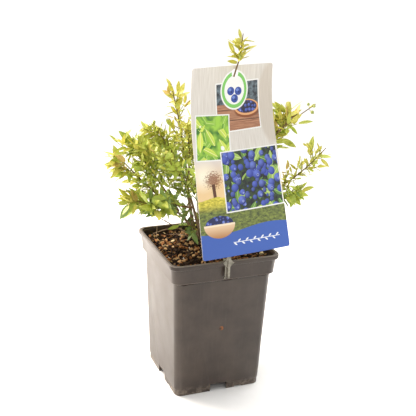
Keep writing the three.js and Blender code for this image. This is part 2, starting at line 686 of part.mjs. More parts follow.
// ---- Assembly -----------------------------------------------------------------------------
addMesh("pot", geometryOf(pot()), "pot");
addMesh("soil", geometryOf(soil()), "soil");
addMesh("picture_card", geometryOf(card()), "card");
addMesh("card_clip", geometryOf(clip()), "clip");

const limbs = {};
for (const [name, spec] of Object.entries(CANES)) {
  limbs[name] = { path: canePath(spec), radii: spec.radii };
  addMesh(name, shootSkin(limbs[name].path, spec.radii, CANE_SIDES, CANE_FLARE), "bark");
}
for (const [name, spec] of Object.entries(BOUGHS)) {
  limbs[name] = { path: boughPath(spec, limbs[spec.from]), radii: spec.radii };
  addMesh(name, shootSkin(limbs[name].path, spec.radii, BOUGH_SIDES), "bark");
}

const limbRoom = Object.values(limbs).map(({ path, radii }) => ({
  points: sampled(path, LIMB_SITES),
  radius: radii[0],
}));

const stems = Object.entries(MASSES).map(([name, spec]) => {
  const stem = stemOf(spec, limbs[spec.from]);
  return { name, spec, stem, sites: sampled(stem.path, STEM_SITES) };
});

function mass({ name, spec, stem, sites }) {
  const others = stems.filter((other) => other.name !== name).flatMap((other) => other.sites);
  const inside = (p) => inSpace(p, sites, others, limbRoom);
  const fits = ([root, ...points]) => points.every(inside) && clearOfCard([root, ...points]);
  const middles = [];
  const fitsLeaf = (points) => {
    const middle = points[4];
    if (!fits(points) || nearest(middle, middles) < KEEP.leaf) return false;
    middles.push(middle);
    return true;
  };
  const random = seeded(spec.seed);
  const twigs = twigsOf(stem, spec, random, fits);
  const leaves = leavesOf(stem, PACE.stem, random, fitsLeaf);
  for (const twig of twigs) leaves.push(...leavesOf(twig, PACE.twig, random, fitsLeaf));
  const solids = [
    solidOf(shootSkin(stem.path, stem.radii, STEM_SIDES)),
    ...twigs.map(({ path, radii }) => solidOf(shootSkin(path, radii, TWIG_SIDES))),
    ...leaves.map(leafSolid),
  ];
  return mainBody(unite(solids));
}

for (const each of stems) addMesh(each.name, geometryOf(mass(each)), "leaf");

export default part;
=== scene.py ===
"""A young highbush blueberry in a square nursery pot of bark compost, with a picture card at its rim.

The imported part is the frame. The canes, twigs, leaves and berries are grown again here by the rule
that made the solids, and carried on to finer twigs within the reach of each mass of foliage.
"""

import math
from functools import partial

import bpy
import numpy as np
from mathutils import Matrix, Vector
from mathutils.kdtree import KDTree


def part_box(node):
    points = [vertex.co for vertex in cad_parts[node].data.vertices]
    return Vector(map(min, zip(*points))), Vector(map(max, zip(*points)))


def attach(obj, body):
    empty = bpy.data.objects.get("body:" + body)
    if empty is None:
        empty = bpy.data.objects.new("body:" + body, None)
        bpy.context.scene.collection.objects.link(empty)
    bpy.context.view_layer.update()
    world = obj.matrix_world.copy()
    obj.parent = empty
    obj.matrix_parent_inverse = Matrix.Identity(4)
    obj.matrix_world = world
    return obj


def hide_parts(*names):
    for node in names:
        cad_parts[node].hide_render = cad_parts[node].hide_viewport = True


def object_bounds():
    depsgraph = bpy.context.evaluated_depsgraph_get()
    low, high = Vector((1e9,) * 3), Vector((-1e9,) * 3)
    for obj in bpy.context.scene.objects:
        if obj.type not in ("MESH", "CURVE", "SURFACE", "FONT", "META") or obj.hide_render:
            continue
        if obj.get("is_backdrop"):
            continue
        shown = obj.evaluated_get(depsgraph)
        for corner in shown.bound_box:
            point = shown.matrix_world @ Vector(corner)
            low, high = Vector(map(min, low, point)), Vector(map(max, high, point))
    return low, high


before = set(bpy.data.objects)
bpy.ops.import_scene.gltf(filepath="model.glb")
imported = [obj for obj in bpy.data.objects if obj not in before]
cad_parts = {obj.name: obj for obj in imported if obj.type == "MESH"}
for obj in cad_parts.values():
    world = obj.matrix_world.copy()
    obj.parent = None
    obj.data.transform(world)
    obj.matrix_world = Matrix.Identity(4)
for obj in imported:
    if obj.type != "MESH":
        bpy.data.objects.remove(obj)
CAD_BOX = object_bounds()

bl_info = {
    "name": "Potted blueberry bush",
    "version": (1, 0, 0),
    "blender": (4, 5, 0),
    "location": "View3D > Sidebar > Bush",
    "description": "Dresses the packed model of a blueberry bush in its nursery pot",
    "category": "Object",
}

MM = 0.001  # the sizes below are millimetres, and every mesh is made in metres
UP = Vector((0, 0, 1))


def linear(code):
    """A colour written as sRGB hex, as the three linear values that Blender mixes."""
    shares = [int(code[i : i + 2], 16) / 255 for i in (1, 3, 5)]
    return tuple(c / 12.92 if c <= 0.04045 else ((c + 0.055) / 1.055) ** 2.4 for c in shares)


# ---- Sizes of the pot, the compost and the card ------------------------------------------------

POT_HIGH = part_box("pot")[1]
POT_HEIGHT = POT_HIGH.z / MM
RIM_HALF = POT_HIGH.x / MM
LIP_HEIGHT = 6
LIP_WIDTH = 4.4
BAND_FOOT_Z = POT_HEIGHT - 27
LIP_FOOT_Z = POT_HEIGHT - LIP_HEIGHT
BAND_TOP_HALF = 72.2
BAND_FOOT_HALF = 70.7
BODY_TOP_HALF = 66.8
BODY_FOOT_HALF = 60.3
WALL = 1.6
FLOOR_Z = 7
FLOOR_TOP = 8.8
PAD_RADIUS = 17
DRAIN = {"radius": 5, "circle": 38}
NOTCH = {"width": 24, "height": 11, "depth": 16}
SIDE_NOTCH = {"width": 11, "height": 2.4, "gap": 11.5}

SOIL_Z = 186
SOIL_FALL = 3.5
SOIL_HALF = RIM_HALF - LIP_WIDTH - 1
LUMP = {"height": 1.5, "along_x": 0.11, "along_y": 0.13, "start_x": 1.3, "start_y": -0.4}
LEVEL_SHARE = 0.3

CARD = {"foot": 125, "head": 111.5, "height": 235.3, "thick": 0.8, "corner": 3}
CARD_TURN = {"lean": 16.1, "yaw": 4, "roll": 1.5}
CARD_CURL = {"from": 0.65, "forward": 16.8, "bow_foot": 2, "bow_head": 6}
CARD_FOOT = Vector((26.3, -74.9, 202.1))
CARD_STEPS = (6.25, 5.88)  # from cut to cut across and up the sheet, so that it bends smoothly
CARD_HOLE = {"across": 0.2, "below": 9, "radius": 5}

# ---- The limbs and the masses that they carry, as in the solids --------------------------------

FOOT = Vector((6, 24, SOIL_Z))
FOOT_RING = 11
CANE_LEAN = 0.28
CANE_KEEP = 0.45
BOUGH_KEEP = 0.4
TWIG_KEEP = 0.5
FORK = 0.9
GAP = 0.3
TIP_GAP = 0.35

# name: base heading, [heading, reach, rise] of its end, radii at its two ends
CANES = {
    "cane_left": (150, (156, 27, 92), (2.6, 1.7)),
    "cane_left_low": (190, (170, 44, 46), (2.3, 1.5)),
    "cane_front_left": (230, (208, 28, 60), (2.3, 1.5)),
    "cane_front": (268, (276, 20, 74), (2.1, 1.4)),
    "cane_leader": (306, (318, 17, 118), (2.6, 1.6)),
    "cane_right_low": (342, (336, 56, 50), (2.4, 1.5)),
    "cane_right": (20, (348, 44, 86), (2.5, 1.7)),
    "cane_back_right": (62, (46, 34, 64), (2.4, 1.6)),
    "cane_back": (106, (92, 30, 76), (2.5, 1.6)),
}

# name: the cane it leaves, its end, its radii
BOUGHS = {
    "bough_left_second": ("cane_left", (150, 42, 108), (1.6, 1.3)),
    "bough_left_inner": ("cane_left", (184, 26, 112), (1.5, 1.2)),
    "bough_left_mid": ("cane_left_low", (176, 58, 76), (1.5, 1.2)),
    "bough_left_low": ("cane_left_low", (182, 62, 52), (1.4, 1.1)),
    "bough_front_low": ("cane_front_left", (200, 50, 60), (1.5, 1.2)),
    "bough_front_right": ("cane_front", (318, 36, 88), (1.4, 1.1)),
    "bough_centre": ("cane_leader", (24, 16, 134), (1.6, 1.3)),
    "bough_right_far": ("cane_right_low", (337, 80, 68), (1.5, 1.2)),
    "bough_right_cluster": ("cane_right", (350, 60, 104), (1.6, 1.3)),
    "bough_back_side": ("cane_back_right", (26, 56, 62), (1.6, 1.3)),
    "bough_back_low": ("cane_back_right", (64, 54, 60), (1.6, 1.3)),
    "bough_back_left": ("cane_back", (118, 46, 84), (1.6, 1.3)),
}

# name: its limb, its furthest tip, side twigs, their length, their seed, and how fresh its
# growth is (0 to 1)
MASSES = {
    "foliage_left_leader": ("cane_left", (159, 50, 213), 5, 22, 11, 0.85),
    "foliage_left_second": ("bough_left_second", (146, 75, 153), 6, 30, 12, 0.6),
    "foliage_left_inner": ("bough_left_inner", (187, 32, 166), 5, 24, 13, 0.6),
    "foliage_left_mid": ("bough_left_mid", (174, 103, 143), 6, 32, 14, 0.55),
    "foliage_left_far": ("cane_left_low", (164, 125, 126), 6, 30, 32, 0.6),
    "foliage_left_low": ("bough_left_low", (179, 112, 68), 5, 28, 16, 0.5),
    "foliage_front_left": ("cane_front_left", (206, 88, 138), 6, 34, 17, 0.4),
    "foliage_front_low": ("bough_front_low", (197, 96, 60), 4, 26, 18, 0.25),
    "foliage_front": ("cane_front", (277, 38, 137), 4, 28, 19, 0.3),
    "foliage_front_right": ("bough_front_right", (326, 72, 133), 4, 28, 20, 0.4),
    "foliage_top": ("cane_leader", (284, 64, 287), 4, 22, 21, 0.9),
    "foliage_centre": ("bough_centre", (38, 33, 188), 5, 30, 22, 0.5),
    "foliage_right_low": ("cane_right_low", (329, 129, 82), 5, 30, 23, 0.35),
    "foliage_right_far": ("bough_right_far", (336, 155, 137), 5, 26, 24, 0.8),
    "foliage_right": ("cane_right", (342, 139, 191), 3, 22, 25, 0.7),
    "foliage_right_cluster": ("bough_right_cluster", (348, 117, 174), 6, 30, 26, 0.65),
    "foliage_back_side": ("bough_back_side", (24, 112, 66), 5, 34, 27, 0.4),
    "foliage_back_right": ("cane_back_right", (38, 112, 128), 6, 36, 28, 0.5),
    "foliage_back_low": ("bough_back_low", (68, 108, 58), 5, 36, 29, 0.35),
    "foliage_back": ("cane_back", (74, 98, 140), 6, 36, 30, 0.5),
    "foliage_back_left": ("bough_back_left", (122, 98, 112), 6, 36, 31, 0.5),
}

# The finer twigs for each side twig of a mass, and how far their seed is from the mass's own.
FINER_TWIGS = 3
FINER_SEED = 1000

# ---- What a user may change --------------------------------------------------------------------


class PotSettings(bpy.types.PropertyGroup):
    corner_radius: bpy.props.FloatProperty(
        name="Corner radius",
        description="Rounding of the pot's four corners at its foot",
        default=9.3 * MM,
        min=2 * MM,
        max=20 * MM,
        unit="LENGTH",
    )
    edge: bpy.props.FloatProperty(
        name="Edge rounding",
        description="Width of the small radius on every moulded edge",
        default=0.45 * MM,
        min=0.1 * MM,
        max=1 * MM,
        unit="LENGTH",
    )
    plastic: bpy.props.FloatVectorProperty(
        name="Plastic",
        description="Colour of the pot's recycled plastic",
        subtype="COLOR",
        default=linear("#342922"),
        min=0,
        max=1,
    )


class CompostSettings(bpy.types.PropertyGroup):
    chips: bpy.props.IntProperty(
        name="Chips",
        description="Number of bark chips on the compost",
        default=1500,
        min=100,
        max=4000,
    )
    chip_size: bpy.props.FloatProperty(
        name="Chip size",
        description="Length of a middling bark chip",
        default=5.2 * MM,
        min=2 * MM,
        max=15 * MM,
        unit="LENGTH",
    )


class PlantSettings(bpy.types.PropertyGroup):
    leaf_length: bpy.props.FloatProperty(
        name="Leaf length",
        description="Length of a full-grown leaf",
        default=23 * MM,
        min=10 * MM,
        max=60 * MM,
        unit="LENGTH",
    )
    leaf_width: bpy.props.FloatProperty(
        name="Leaf width",
        description="Width of a full-grown leaf",
        default=7.2 * MM,
        min=3 * MM,
        max=30 * MM,
        unit="LENGTH",
    )
    leaf_pace: bpy.props.FloatProperty(
        name="Leaf spacing",
        description="Distance from leaf to leaf along a twig",
        default=4.9 * MM,
        min=2 * MM,
        max=30 * MM,
        unit="LENGTH",
    )
    finer: bpy.props.FloatProperty(
        name="Finer twigs",
        description="Share of the finer twigs that the bush carries",
        default=1,
        min=0,
        max=2,
        subtype="FACTOR",
    )


class CardSettings(bpy.types.PropertyGroup):
    paper: bpy.props.FloatVectorProperty(
        name="Sheet",
        description="Colour of the unprinted sheet",
        subtype="COLOR",
        default=linear("#f1eee8"),
        min=0,
        max=1,
    )
    band: bpy.props.FloatVectorProperty(
        name="Band",
        description="Colour of the band along the card's foot",
        subtype="COLOR",
        default=linear("#3f62b4"),
        min=0,
        max=1,
    )


class StageSettings(bpy.types.PropertyGroup):
    overhead: bpy.props.FloatProperty(
        name="Overhead light",
        description="Strength of the wide light overhead",
        default=1.2,
        min=0,
    )
    back: bpy.props.FloatProperty(
        name="Back softbox",
        description="Power of the softbox that lights the floor behind the pot on the left",
        default=15,
        min=0,
        unit="POWER",
    )
    floor: bpy.props.FloatProperty(
        name="Floor softbox",
        description="Power of the softbox that lights the floor in front of the pot on the right",
        default=1.5,
        min=0,
        unit="POWER",
    )
    sky: bpy.props.FloatProperty(
        name="Surround",
        description="Brightness of the white surround",
        default=0.85,
        min=0,
    )


SETTINGS = {
    "bush_pot": PotSettings,
    "bush_compost": CompostSettings,
    "bush_plant": PlantSettings,
    "bush_card": CardSettings,
    "bush_stage": StageSettings,
}

# ---- Small helpers -----------------------------------------------------------------------------


def deselect():
    """Leaves edit mode with nothing selected."""
    if bpy.context.mode != "OBJECT":
        bpy.ops.object.mode_set(mode="OBJECT")
    bpy.ops.object.select_all(action="DESELECT")


def started(name):
    """Names the primitive that was just added."""
    piece = bpy.context.object
    piece.name = name
    piece.data.name = name
    return piece


def activate(piece):
    deselect()
    piece.select_set(True)
    bpy.context.view_layer.objects.active = piece


def apply_modifier(piece, kind, **settings):
    activate(piece)
    bpy.ops.object.modifier_add(type=kind)
    modifier = piece.modifiers[-1]
    for key, value in settings.items():
        setattr(modifier, key, value)
    bpy.ops.object.modifier_apply(modifier=modifier.name)


def cut(piece, tool, operation="DIFFERENCE"):
    """Cuts a piece by another, or joins them, and removes the tool."""
    apply_modifier(piece, "BOOLEAN", operation=operation, object=tool, solver="EXACT")
    bpy.data.objects.remove(tool)


def edit_all():
    """Goes into edit mode with everything selected."""
    bpy.ops.object.mode_set(mode="EDIT")
    bpy.ops.mesh.select_all(action="SELECT")


def slice_up(axis, places):
    """In edit mode, cuts the mesh square to an axis at some places in millimetres."""
    normal = [0, 0, 0]
    normal[axis] = 1
    for place in places:
        bpy.ops.mesh.select_all(action="SELECT")
        bpy.ops.mesh.bisect(plane_co=Vector(normal) * place * MM, plane_no=normal)


def form_of(piece):
    """A piece's points and faces. The piece itself is removed."""
    points = np.array([v.co for v in piece.data.vertices])
    faces = [list(p.vertices) for p in piece.data.polygons]
    bpy.data.objects.remove(piece)
    return points, faces


def to_mesh_place(piece):
    """Puts an object's place, turn and scale into its mesh."""
    activate(piece)
    bpy.ops.object.transform_apply(location=True, rotation=True, scale=True)


def smooth_by_angle(piece, degrees):
    activate(piece)
    bpy.ops.object.shade_smooth_by_angle(angle=math.radians(degrees))


def recalculate(piece):
    """Merges doubles and turns every face outwards."""
    activate(piece)
    edit_all()
    bpy.ops.mesh.remove_doubles(threshold=1e-6)
    bpy.ops.mesh.normals_make_consistent(inside=False)
    bpy.ops.object.mode_set(mode="OBJECT")


def box_piece(name, low, high):
    """A block between two corners, in millimetres."""
    low, high = Vector(low), Vector(high)
    deselect()
    bpy.ops.mesh.primitive_cube_add(size=1, location=(low + high) / 2 * MM)
    piece = started(name)
    piece.scale = (high - low) * MM
    to_mesh_place(piece)
    return piece


def disc_piece(name, radius, low, high, x, y, vertices):
    deselect()
    middle = Vector((x, y, (low + high) / 2)) * MM
    bpy.ops.mesh.primitive_cylinder_add(
        radius=radius * MM, depth=(high - low) * MM, location=middle, vertices=vertices
    )
    piece = started(name)
    to_mesh_place(piece)
    return piece


def joined(name, pieces):
    activate(pieces[0])
    for piece in pieces:
        piece.select_set(True)
    bpy.ops.object.join()
    return started(name)


def mesh_piece(name, points, faces, uvs=None, kinds=None):
    """A joined piece from arrays: points in metres, faces as lists of point numbers."""
    mesh = bpy.data.meshes.new(name)
    mesh.from_pydata(points.tolist(), [], faces)
    if uvs is not None:
        layer = mesh.uv_layers.new(name="UVMap")
        corners = np.fromiter((i for face in faces for i in face), int)
        layer.data.foreach_set("uv", uvs[corners].ravel())
    if kinds is not None:
        mesh.polygons.foreach_set("material_index", kinds)
    mesh.update()
    piece = bpy.data.objects.new(name, mesh)
    bpy.context.scene.collection.objects.link(piece)
    return piece


def gathered(name, parts, uvs=None):
    """Many forms as one piece. Each is its points in millimetres, its faces and its material."""
    points, faces, kinds = [], [], []
    total = 0
    for part_points, part_faces, kind in parts:
        points.append(part_points * MM)
        faces += [[i + total for i in face] for face in part_faces]
        kinds += [kind] * len(part_faces)
        total += len(part_points)
    return mesh_piece(name, np.concatenate(points), faces, uvs, kinds)


def dress(piece, slot, *materials):
    """Gives a piece its materials and its body. Its slot is not used."""
    for material in materials:
        piece.data.materials.append(material)
    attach(piece, "root")


def seeded(seed):
    """Random numbers from 0 to 1, the same as in the solids."""
    state = seed

    def draw():
        nonlocal state
        state = (state + 0x6D2B79F5) & 0xFFFFFFFF
        t = (state ^ (state >> 15)) * (1 | state) & 0xFFFFFFFF
        t = (t + (t ^ (t >> 7)) * (61 | t)) & 0xFFFFFFFF ^ t
        return (t ^ (t >> 14)) / 4294967296

    return draw


# ---- Materials ---------------------------------------------------------------------------------


def every(size):
    """The scale of a pattern whose forms are a size in millimetres across."""
    return 1 / (size * MM)


def feed(socket, value):
    """Sets a socket to a value, where a colour may be hex, or links it to a socket or to the first
    one in use of a node."""
    if isinstance(value, bpy.types.Node):
        value = next(output for output in value.outputs if output.enabled)
    if isinstance(value, bpy.types.NodeSocket):
        socket.id_data.links.new(value, socket)
    elif socket.type == "RGBA":
        colour = linear(value) if isinstance(value, str) else value
        socket.default_value = (*colour, 1)
    else:
        socket.default_value = value


def add_node(tree, kind, values=(), operation=None, **settings):
    """Adds a node. Its values go to its inputs in use, in order or by name. A Mix is of colours."""
    node = tree.nodes.new("ShaderNode" + kind)
    if operation:
        node.operation = operation
    if kind == "Mix":
        node.data_type = "RGBA"
    for key, value in settings.items():
        setattr(node, key, value)
    if isinstance(values, dict):
        fed = [(node.inputs[name], value) for name, value in values.items()]
    else:
        fed = zip([socket for socket in node.inputs if socket.enabled], values)
    for socket, value in fed:
        feed(socket, value)
    return node


def new_material(name, colour, roughness, ior=1.5, **sockets):
    """A material with its plain values on the shader's own sockets, and what adds its nodes."""
    material = bpy.data.materials.new(name)
    material.use_nodes = True
    shader = material.node_tree.nodes["Principled BSDF"]
    shader.inputs["Base Color"].default_value = (*colour, 1)
    shader.inputs["Roughness"].default_value = roughness
    shader.inputs["IOR"].default_value = ior
    for key, value in sockets.items():
        shader.inputs[key.replace("_", " ")].default_value = value
    material.diffuse_color = (*colour, 1)
    return material, partial(add_node, material.node_tree), shader


# ---- Pot ---------------------------------------------------------------------------------------


GATE_MARK = Vector((-0.8, -64, 95)) * MM
GATE_PIT = Vector((-2.4, -64, 94.6)) * MM
# Painted shade: dark bands under the collar and the lip, each from its top down to where it fades.
PAINTED_SHADE_LINES = ((BAND_FOOT_Z - 0.6, 3.4), (LIP_FOOT_Z - 0.3, 1.8))  # top, and how far down it fades
# Painted highlights: pale lines along the collar's foot and the rim's top edge, each from its foot up to
# where it fades.
PAINTED_HIGHLIGHT_EDGES = ((BAND_FOOT_Z - 0.2, BAND_FOOT_Z + 1.7), (POT_HEIGHT - 0.7, POT_HEIGHT + 0.9))

# The wall's outline as (half width, height): up the outside, over the lip and down the inside.
POT_OUTSIDE = [
    (BODY_FOOT_HALF - 0.6, 0),
    (BODY_FOOT_HALF - 0.2, 1.2),
    (BODY_FOOT_HALF - 0.2, 8.5),
    (BODY_FOOT_HALF + 0.4, 9.5),
    (BODY_TOP_HALF, BAND_FOOT_Z),
    (BAND_FOOT_HALF - 0.6, BAND_FOOT_Z + 0.1),
    (BAND_FOOT_HALF, BAND_FOOT_Z + 0.9),
    (BAND_TOP_HALF, LIP_FOOT_Z - 0.8),
    (RIM_HALF - 0.5, LIP_FOOT_Z),
    (RIM_HALF, LIP_FOOT_Z + 1),
    (RIM_HALF, POT_HEIGHT - 1),
    (RIM_HALF - 0.5, POT_HEIGHT - 0.2),
    (RIM_HALF - 1.3, POT_HEIGHT),
]
POT_INSIDE = [
    (RIM_HALF - LIP_WIDTH + 0.9, POT_HEIGHT),
    (RIM_HALF - LIP_WIDTH + 0.4, POT_HEIGHT - 0.6),
    (RIM_HALF - LIP_WIDTH + 0.3, POT_HEIGHT - 2.8),
    (RIM_HALF - LIP_WIDTH - 0.3, POT_HEIGHT - 3.2),
    (RIM_HALF - LIP_WIDTH - 0.3, LIP_FOOT_Z),
    (BAND_FOOT_HALF - WALL, BAND_FOOT_Z + 2 * WALL),
    (BODY_TOP_HALF - WALL, BAND_FOOT_Z),
    (BODY_FOOT_HALF - WALL + 0.4, FLOOR_TOP),
]


def pot_plastic(colour):
    """Recycled polypropylene, injection moulded: satin grey-brown with dust and faint drag marks."""
    material, add, shader = new_material("recycled_polypropylene", colour, 0.36, 1.49)
    place = add("TexCoord").outputs["Object"]
    cloud = add("TexNoise", {"Vector": place, "Scale": every(45), "Detail": 4, "Roughness": 0.6})
    dusty = add("Mix", [add("MapRange", [cloud, 0.35, 0.8]), colour, "#4d4239"])
    # Drag marks run up the wall, as the moulding leaves its tool: about 3 mm apart.
    tall = add("Mapping", {"Vector": place, "Scale": (1, 1, 0.06)})
    drag = add("TexNoise", {"Vector": tall, "Scale": every(3.1), "Detail": 3, "Roughness": 0.55})
    streak = add("Math", [add("MapRange", [drag, 0.55, 0.85]), 0.2], "MULTIPLY")
    dragged = add("Mix", [streak, dusty, "#5f564d"])
    # Pale dust lies low on the foot, where the pot stood on wet ground.
    height = add("SeparateXYZ", [place]).outputs[2]
    low = add("MapRange", [height, 14 * MM, 4 * MM])
    speck = add("TexNoise", {"Vector": place, "Scale": every(7), "Detail": 5, "Roughness": 0.7})
    dust = add("Math", [low, add("MapRange", [speck, 0.45, 0.75])], "MULTIPLY")
    footed = add("Mix", [dust, dragged, "#8a7c6c"])
    # Shade is painted as dark bands in the angles under the collar and the lip, and highlights are painted
    # as pale lines along their edges.
    for top, deep in PAINTED_SHADE_LINES:
        under = add("Math", [height, top * MM], "LESS_THAN")
        fade = add("MapRange", [height, (top - deep) * MM, top * MM])
        painted_shade = add("Math", [under, fade], "MULTIPLY")
        footed = add("Mix", [add("Math", [painted_shade, 0.85], "MULTIPLY"), footed, "#120e0a"])
    # The pale lines along the edges are painted highlights.
    for low, high in PAINTED_HIGHLIGHT_EDGES:
        above = add("Math", [height, low * MM], "GREATER_THAN")
        fade = add("MapRange", [height, high * MM, low * MM])
        painted_highlight = add("Math", [above, fade], "MULTIPLY")
        footed = add("Mix", [add("Math", [painted_highlight, 0.6], "MULTIPLY"), footed, "#8c8074"])
    # The gate of the moulding shows as one small rusty spot low in the front wall, with a dark pit.
    away = add("VectorMath", [place, GATE_MARK], "DISTANCE")
    ragged = add("Math", [away, add("Math", [speck, 2.2 * MM], "MULTIPLY")], "ADD")
    spot = add("MapRange", [ragged, 4.3 * MM, 3.6 * MM])
    rusty = add("Mix", [spot, footed, "#84480f"])
    pit_at = add("VectorMath", [place, GATE_PIT], "DISTANCE")
    pitted = add("Mix", [add("MapRange", [pit_at, 3 * MM, 0.9 * MM]), rusty, "#33210f"])
    feed(shader.inputs["Base Color"], pitted)
    rough = add("MapRange", [cloud, 0.3, 0.8, 0.3, 0.44])
    feed(shader.inputs["Roughness"], rough)
    grain = add("Math", [drag, 0.6, speck], "MULTIPLY_ADD")
    bump = add("Bump", {"Height": grain, "Distance": 0.04 * MM, "Strength": 0.4})
    feed(shader.inputs["Normal"], bump)
    return material


def raise_walls(outline):
    """From the selected face, walls follow an outline of (half width, height)."""
    half, z = outline[0]
    for next_half, next_z in outline[1:]:
        bpy.ops.mesh.extrude_region_move(
            TRANSFORM_OT_translate={"value": (0, 0, (next_z - z) * MM)}
        )
        scale = next_half / half
        bpy.ops.transform.resize(value=(scale, scale, 1), center_override=(0, 0, next_z * MM))
        half, z = next_half, next_z


def square_block(name, outline, corner, segments=8):
    """A block with round corners whose walls follow an outline."""
    half, z = outline[0]
    deselect()
    bpy.ops.mesh.primitive_plane_add(size=2 * half * MM, location=(0, 0, z * MM))
    piece = started(name)
    to_mesh_place(piece)
    edit_all()
    bpy.ops.mesh.bevel(offset=corner, segments=segments, affect="VERTICES")
    bpy.ops.mesh.select_all(action="SELECT")
    raise_walls(outline)
    bpy.ops.object.mode_set(mode="OBJECT")
    recalculate(piece)
    return piece


def notch_blocks():
    """The blocks that cut the drainage notches in the foot of each wall."""
    blocks = []
    for dx, dy in ((1, 0), (0, 1), (-1, 0), (0, -1)):
        shift = (NOTCH["width"] + SIDE_NOTCH["width"]) / 2 + SIDE_NOTCH["gap"]
        for notch, aside in ((NOTCH, 0), (SIDE_NOTCH, shift)):
            along, deep = notch["width"] / 2, NOTCH["depth"] / 2
            half = Vector((deep if dx else along, deep if dy else along, notch["height"]))
            middle = Vector((dx * BODY_FOOT_HALF - dy * aside, dy * BODY_FOOT_HALF + dx * aside, 0))
            blocks.append(box_piece("notch", middle - half, middle + half))
    return blocks


class BUSH_OT_pot(bpy.types.Operator):
    """Models the moulded pot with its rolled lip, collar, raised floor, notches and drain holes"""

    bl_idname = "bush.pot"
    bl_label = "Pot"

    def execute(self, context):
        settings = context.scene.bush_pot
        pot = square_block("nursery_pot", POT_OUTSIDE + POT_INSIDE, settings.corner_radius)
        apply_modifier(
            pot,
            "BEVEL",
            width=settings.edge,
            segments=2,
            limit_method="ANGLE",
            angle_limit=math.radians(35),
        )
        under = BODY_FOOT_HALF - 2 * WALL
        cut(pot, square_block("recess", [(under, -1), (under, FLOOR_Z)], settings.corner_radius))
        pad = disc_piece("pad", PAD_RADIUS, 0, (FLOOR_Z + FLOOR_TOP) / 2, 0, 0, 40)
        cut(pot, pad, "UNION")
        tools = notch_blocks()
        for turn in (45, 135, 225, 315):
            x = DRAIN["circle"] * math.cos(math.radians(turn))
            y = DRAIN["circle"] * math.sin(math.radians(turn))
            tools.append(disc_piece("drain", DRAIN["radius"], 2, FLOOR_TOP + 4, x, y, 24))
        cut(pot, joined("cutters", tools))
        smooth_by_angle(pot, 30)
        dress(pot, "pot", pot_plastic(settings.plastic))
        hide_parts("pot")
        return {"FINISHED"}


# ---- Compost -----------------------------------------------------------------------------------


def soil_height(x, y):
    """Height of the compost at a place, as in the solids."""
    out = min(1, math.hypot(x - FOOT.x, y - FOOT.y) / RIM_HALF)
    beyond = max(0, out - LEVEL_SHARE)
    lump = math.sin(x * LUMP["along_x"] + LUMP["start_x"])
    lump *= math.cos(y * LUMP["along_y"] + LUMP["start_y"])
    fall = SOIL_FALL * (beyond / (1 - LEVEL_SHARE)) ** 2
    return SOIL_Z - fall + LUMP["height"] * lump * beyond


def crumbs(name, code, second, roughness, grit):
    """Bits of bark, peat or stone: two tones broken up at the size of their fibres or grains."""
    material, add, shader = new_material(name, linear(code), roughness, Specular_IOR_Level=0.2)
    place = add("TexCoord").outputs["Object"]
    grain = add("TexNoise", {"Vector": place, "Scale": every(grit), "Detail": 5, "Roughness": 0.7})
    share = add("MapRange", [grain, 0.36, 0.66])
    feed(shader.inputs["Base Color"], add("Mix", [share, code, second]))
    bump = add("Bump", {"Height": grain, "Distance": 0.4 * MM, "Strength": 0.8})
    feed(shader.inputs["Normal"], bump)
    return material


# A chip's length, width and thickness, and the planes that its corners are cut by.
CHIP_SHAPES = [
    ((1.0, 0.55, 0.3), [((0.7, 0.6, 0.4), 0.33), ((-0.8, 0.3, -0.5), 0.34), ((-0.5, -0.8, 0.3), 0.33)]),
    ((1.0, 0.4, 0.34), [((0.9, -0.4, 0.2), 0.4), ((-0.7, 0.6, 0.4), 0.33), ((0.2, 0.5, 0.8), 0.2)]),
    ((0.8, 0.7, 0.45), [((0.6, 0.6, 0.5), 0.36), ((-0.6, -0.5, 0.6), 0.34), ((0.5, -0.7, -0.5), 0.36)]),
    ((1.0, 0.3, 0.2), [((0.8, 0.5, 0.1), 0.38), ((-0.9, 0.4, 0.2), 0.4)]),
]


def chip_forms():
    """Rough chips: a block stretched to a flake, then cut across two corners."""
    forms = []
    for size, cuts in CHIP_SHAPES:
        deselect()
        bpy.ops.mesh.primitive_cube_add(size=1)
        chip = started("chip")
        edit_all()
        bpy.ops.transform.resize(value=size, center_override=(0, 0, 0))
        for normal, away in cuts:
            bpy.ops.mesh.select_all(action="SELECT")
            point = Vector(normal) * away
            bpy.ops.mesh.bisect(plane_co=point, plane_no=normal, clear_outer=True, use_fill=True)
        bpy.ops.object.mode_set(mode="OBJECT")
        recalculate(chip)
        forms.append(form_of(chip))
    return forms


# How bits are strewn: the smallest against the usual size, how far their middles stay from the
# edge and their pull from the corners, how they tip, and how far they stand out of the compost.
STREW = {"least": 0.5, "inset": 0.55, "pull": 0.85, "tip": 1.5, "roll": 1.3, "sunk": 0.35, "heave": 0.42}
KIND_CURVE = 1.7  # above 1, so that the first kind is the commonest
SOIL_CORNER = 10.5


def scattered(name, forms, count, size, spread, seed, kinds):
    """Copies of some forms strewn over the compost, turned every way, as one joined piece."""
    draw = seeded(seed)
    bits = []
    for _ in range(count):
        form, form_faces = forms[int(draw() * len(forms))]
        long = size * (STREW["least"] + draw() ** 2 * spread)
        half = SOIL_HALF - long * STREW["inset"]
        x, y = (2 * draw() - 1) * half, (2 * draw() - 1) * half
        past = math.hypot(max(0, abs(x) - half + SOIL_CORNER), max(0, abs(y) - half + SOIL_CORNER))
        if past > SOIL_CORNER:
            x, y = x * STREW["pull"], y * STREW["pull"]
        turn = Matrix.Rotation(draw() * math.tau, 3, "Z")
        tip = Matrix.Rotation((draw() - 0.5) * STREW["tip"], 3, "X")
        tip = tip @ Matrix.Rotation((draw() - 0.5) * STREW["roll"], 3, "Y")
        z = soil_height(x, y) + (draw() - STREW["sunk"]) * long * STREW["heave"]
        placed = form @ np.array(turn @ tip).T * long + (x, y, z)
        bits.append((placed, form_faces, int(draw() ** KIND_CURVE * kinds)))
    return gathered(name, bits)


BED = {"steps": 40, "sunk": 1.6, "rough": 1.2}
# The bed's sides go down in two steps, each with its fall and its half width.
BED_SIDES = ((13, BAND_FOOT_HALF - WALL - 0.5), (12, BODY_TOP_HALF - WALL - 3.5))


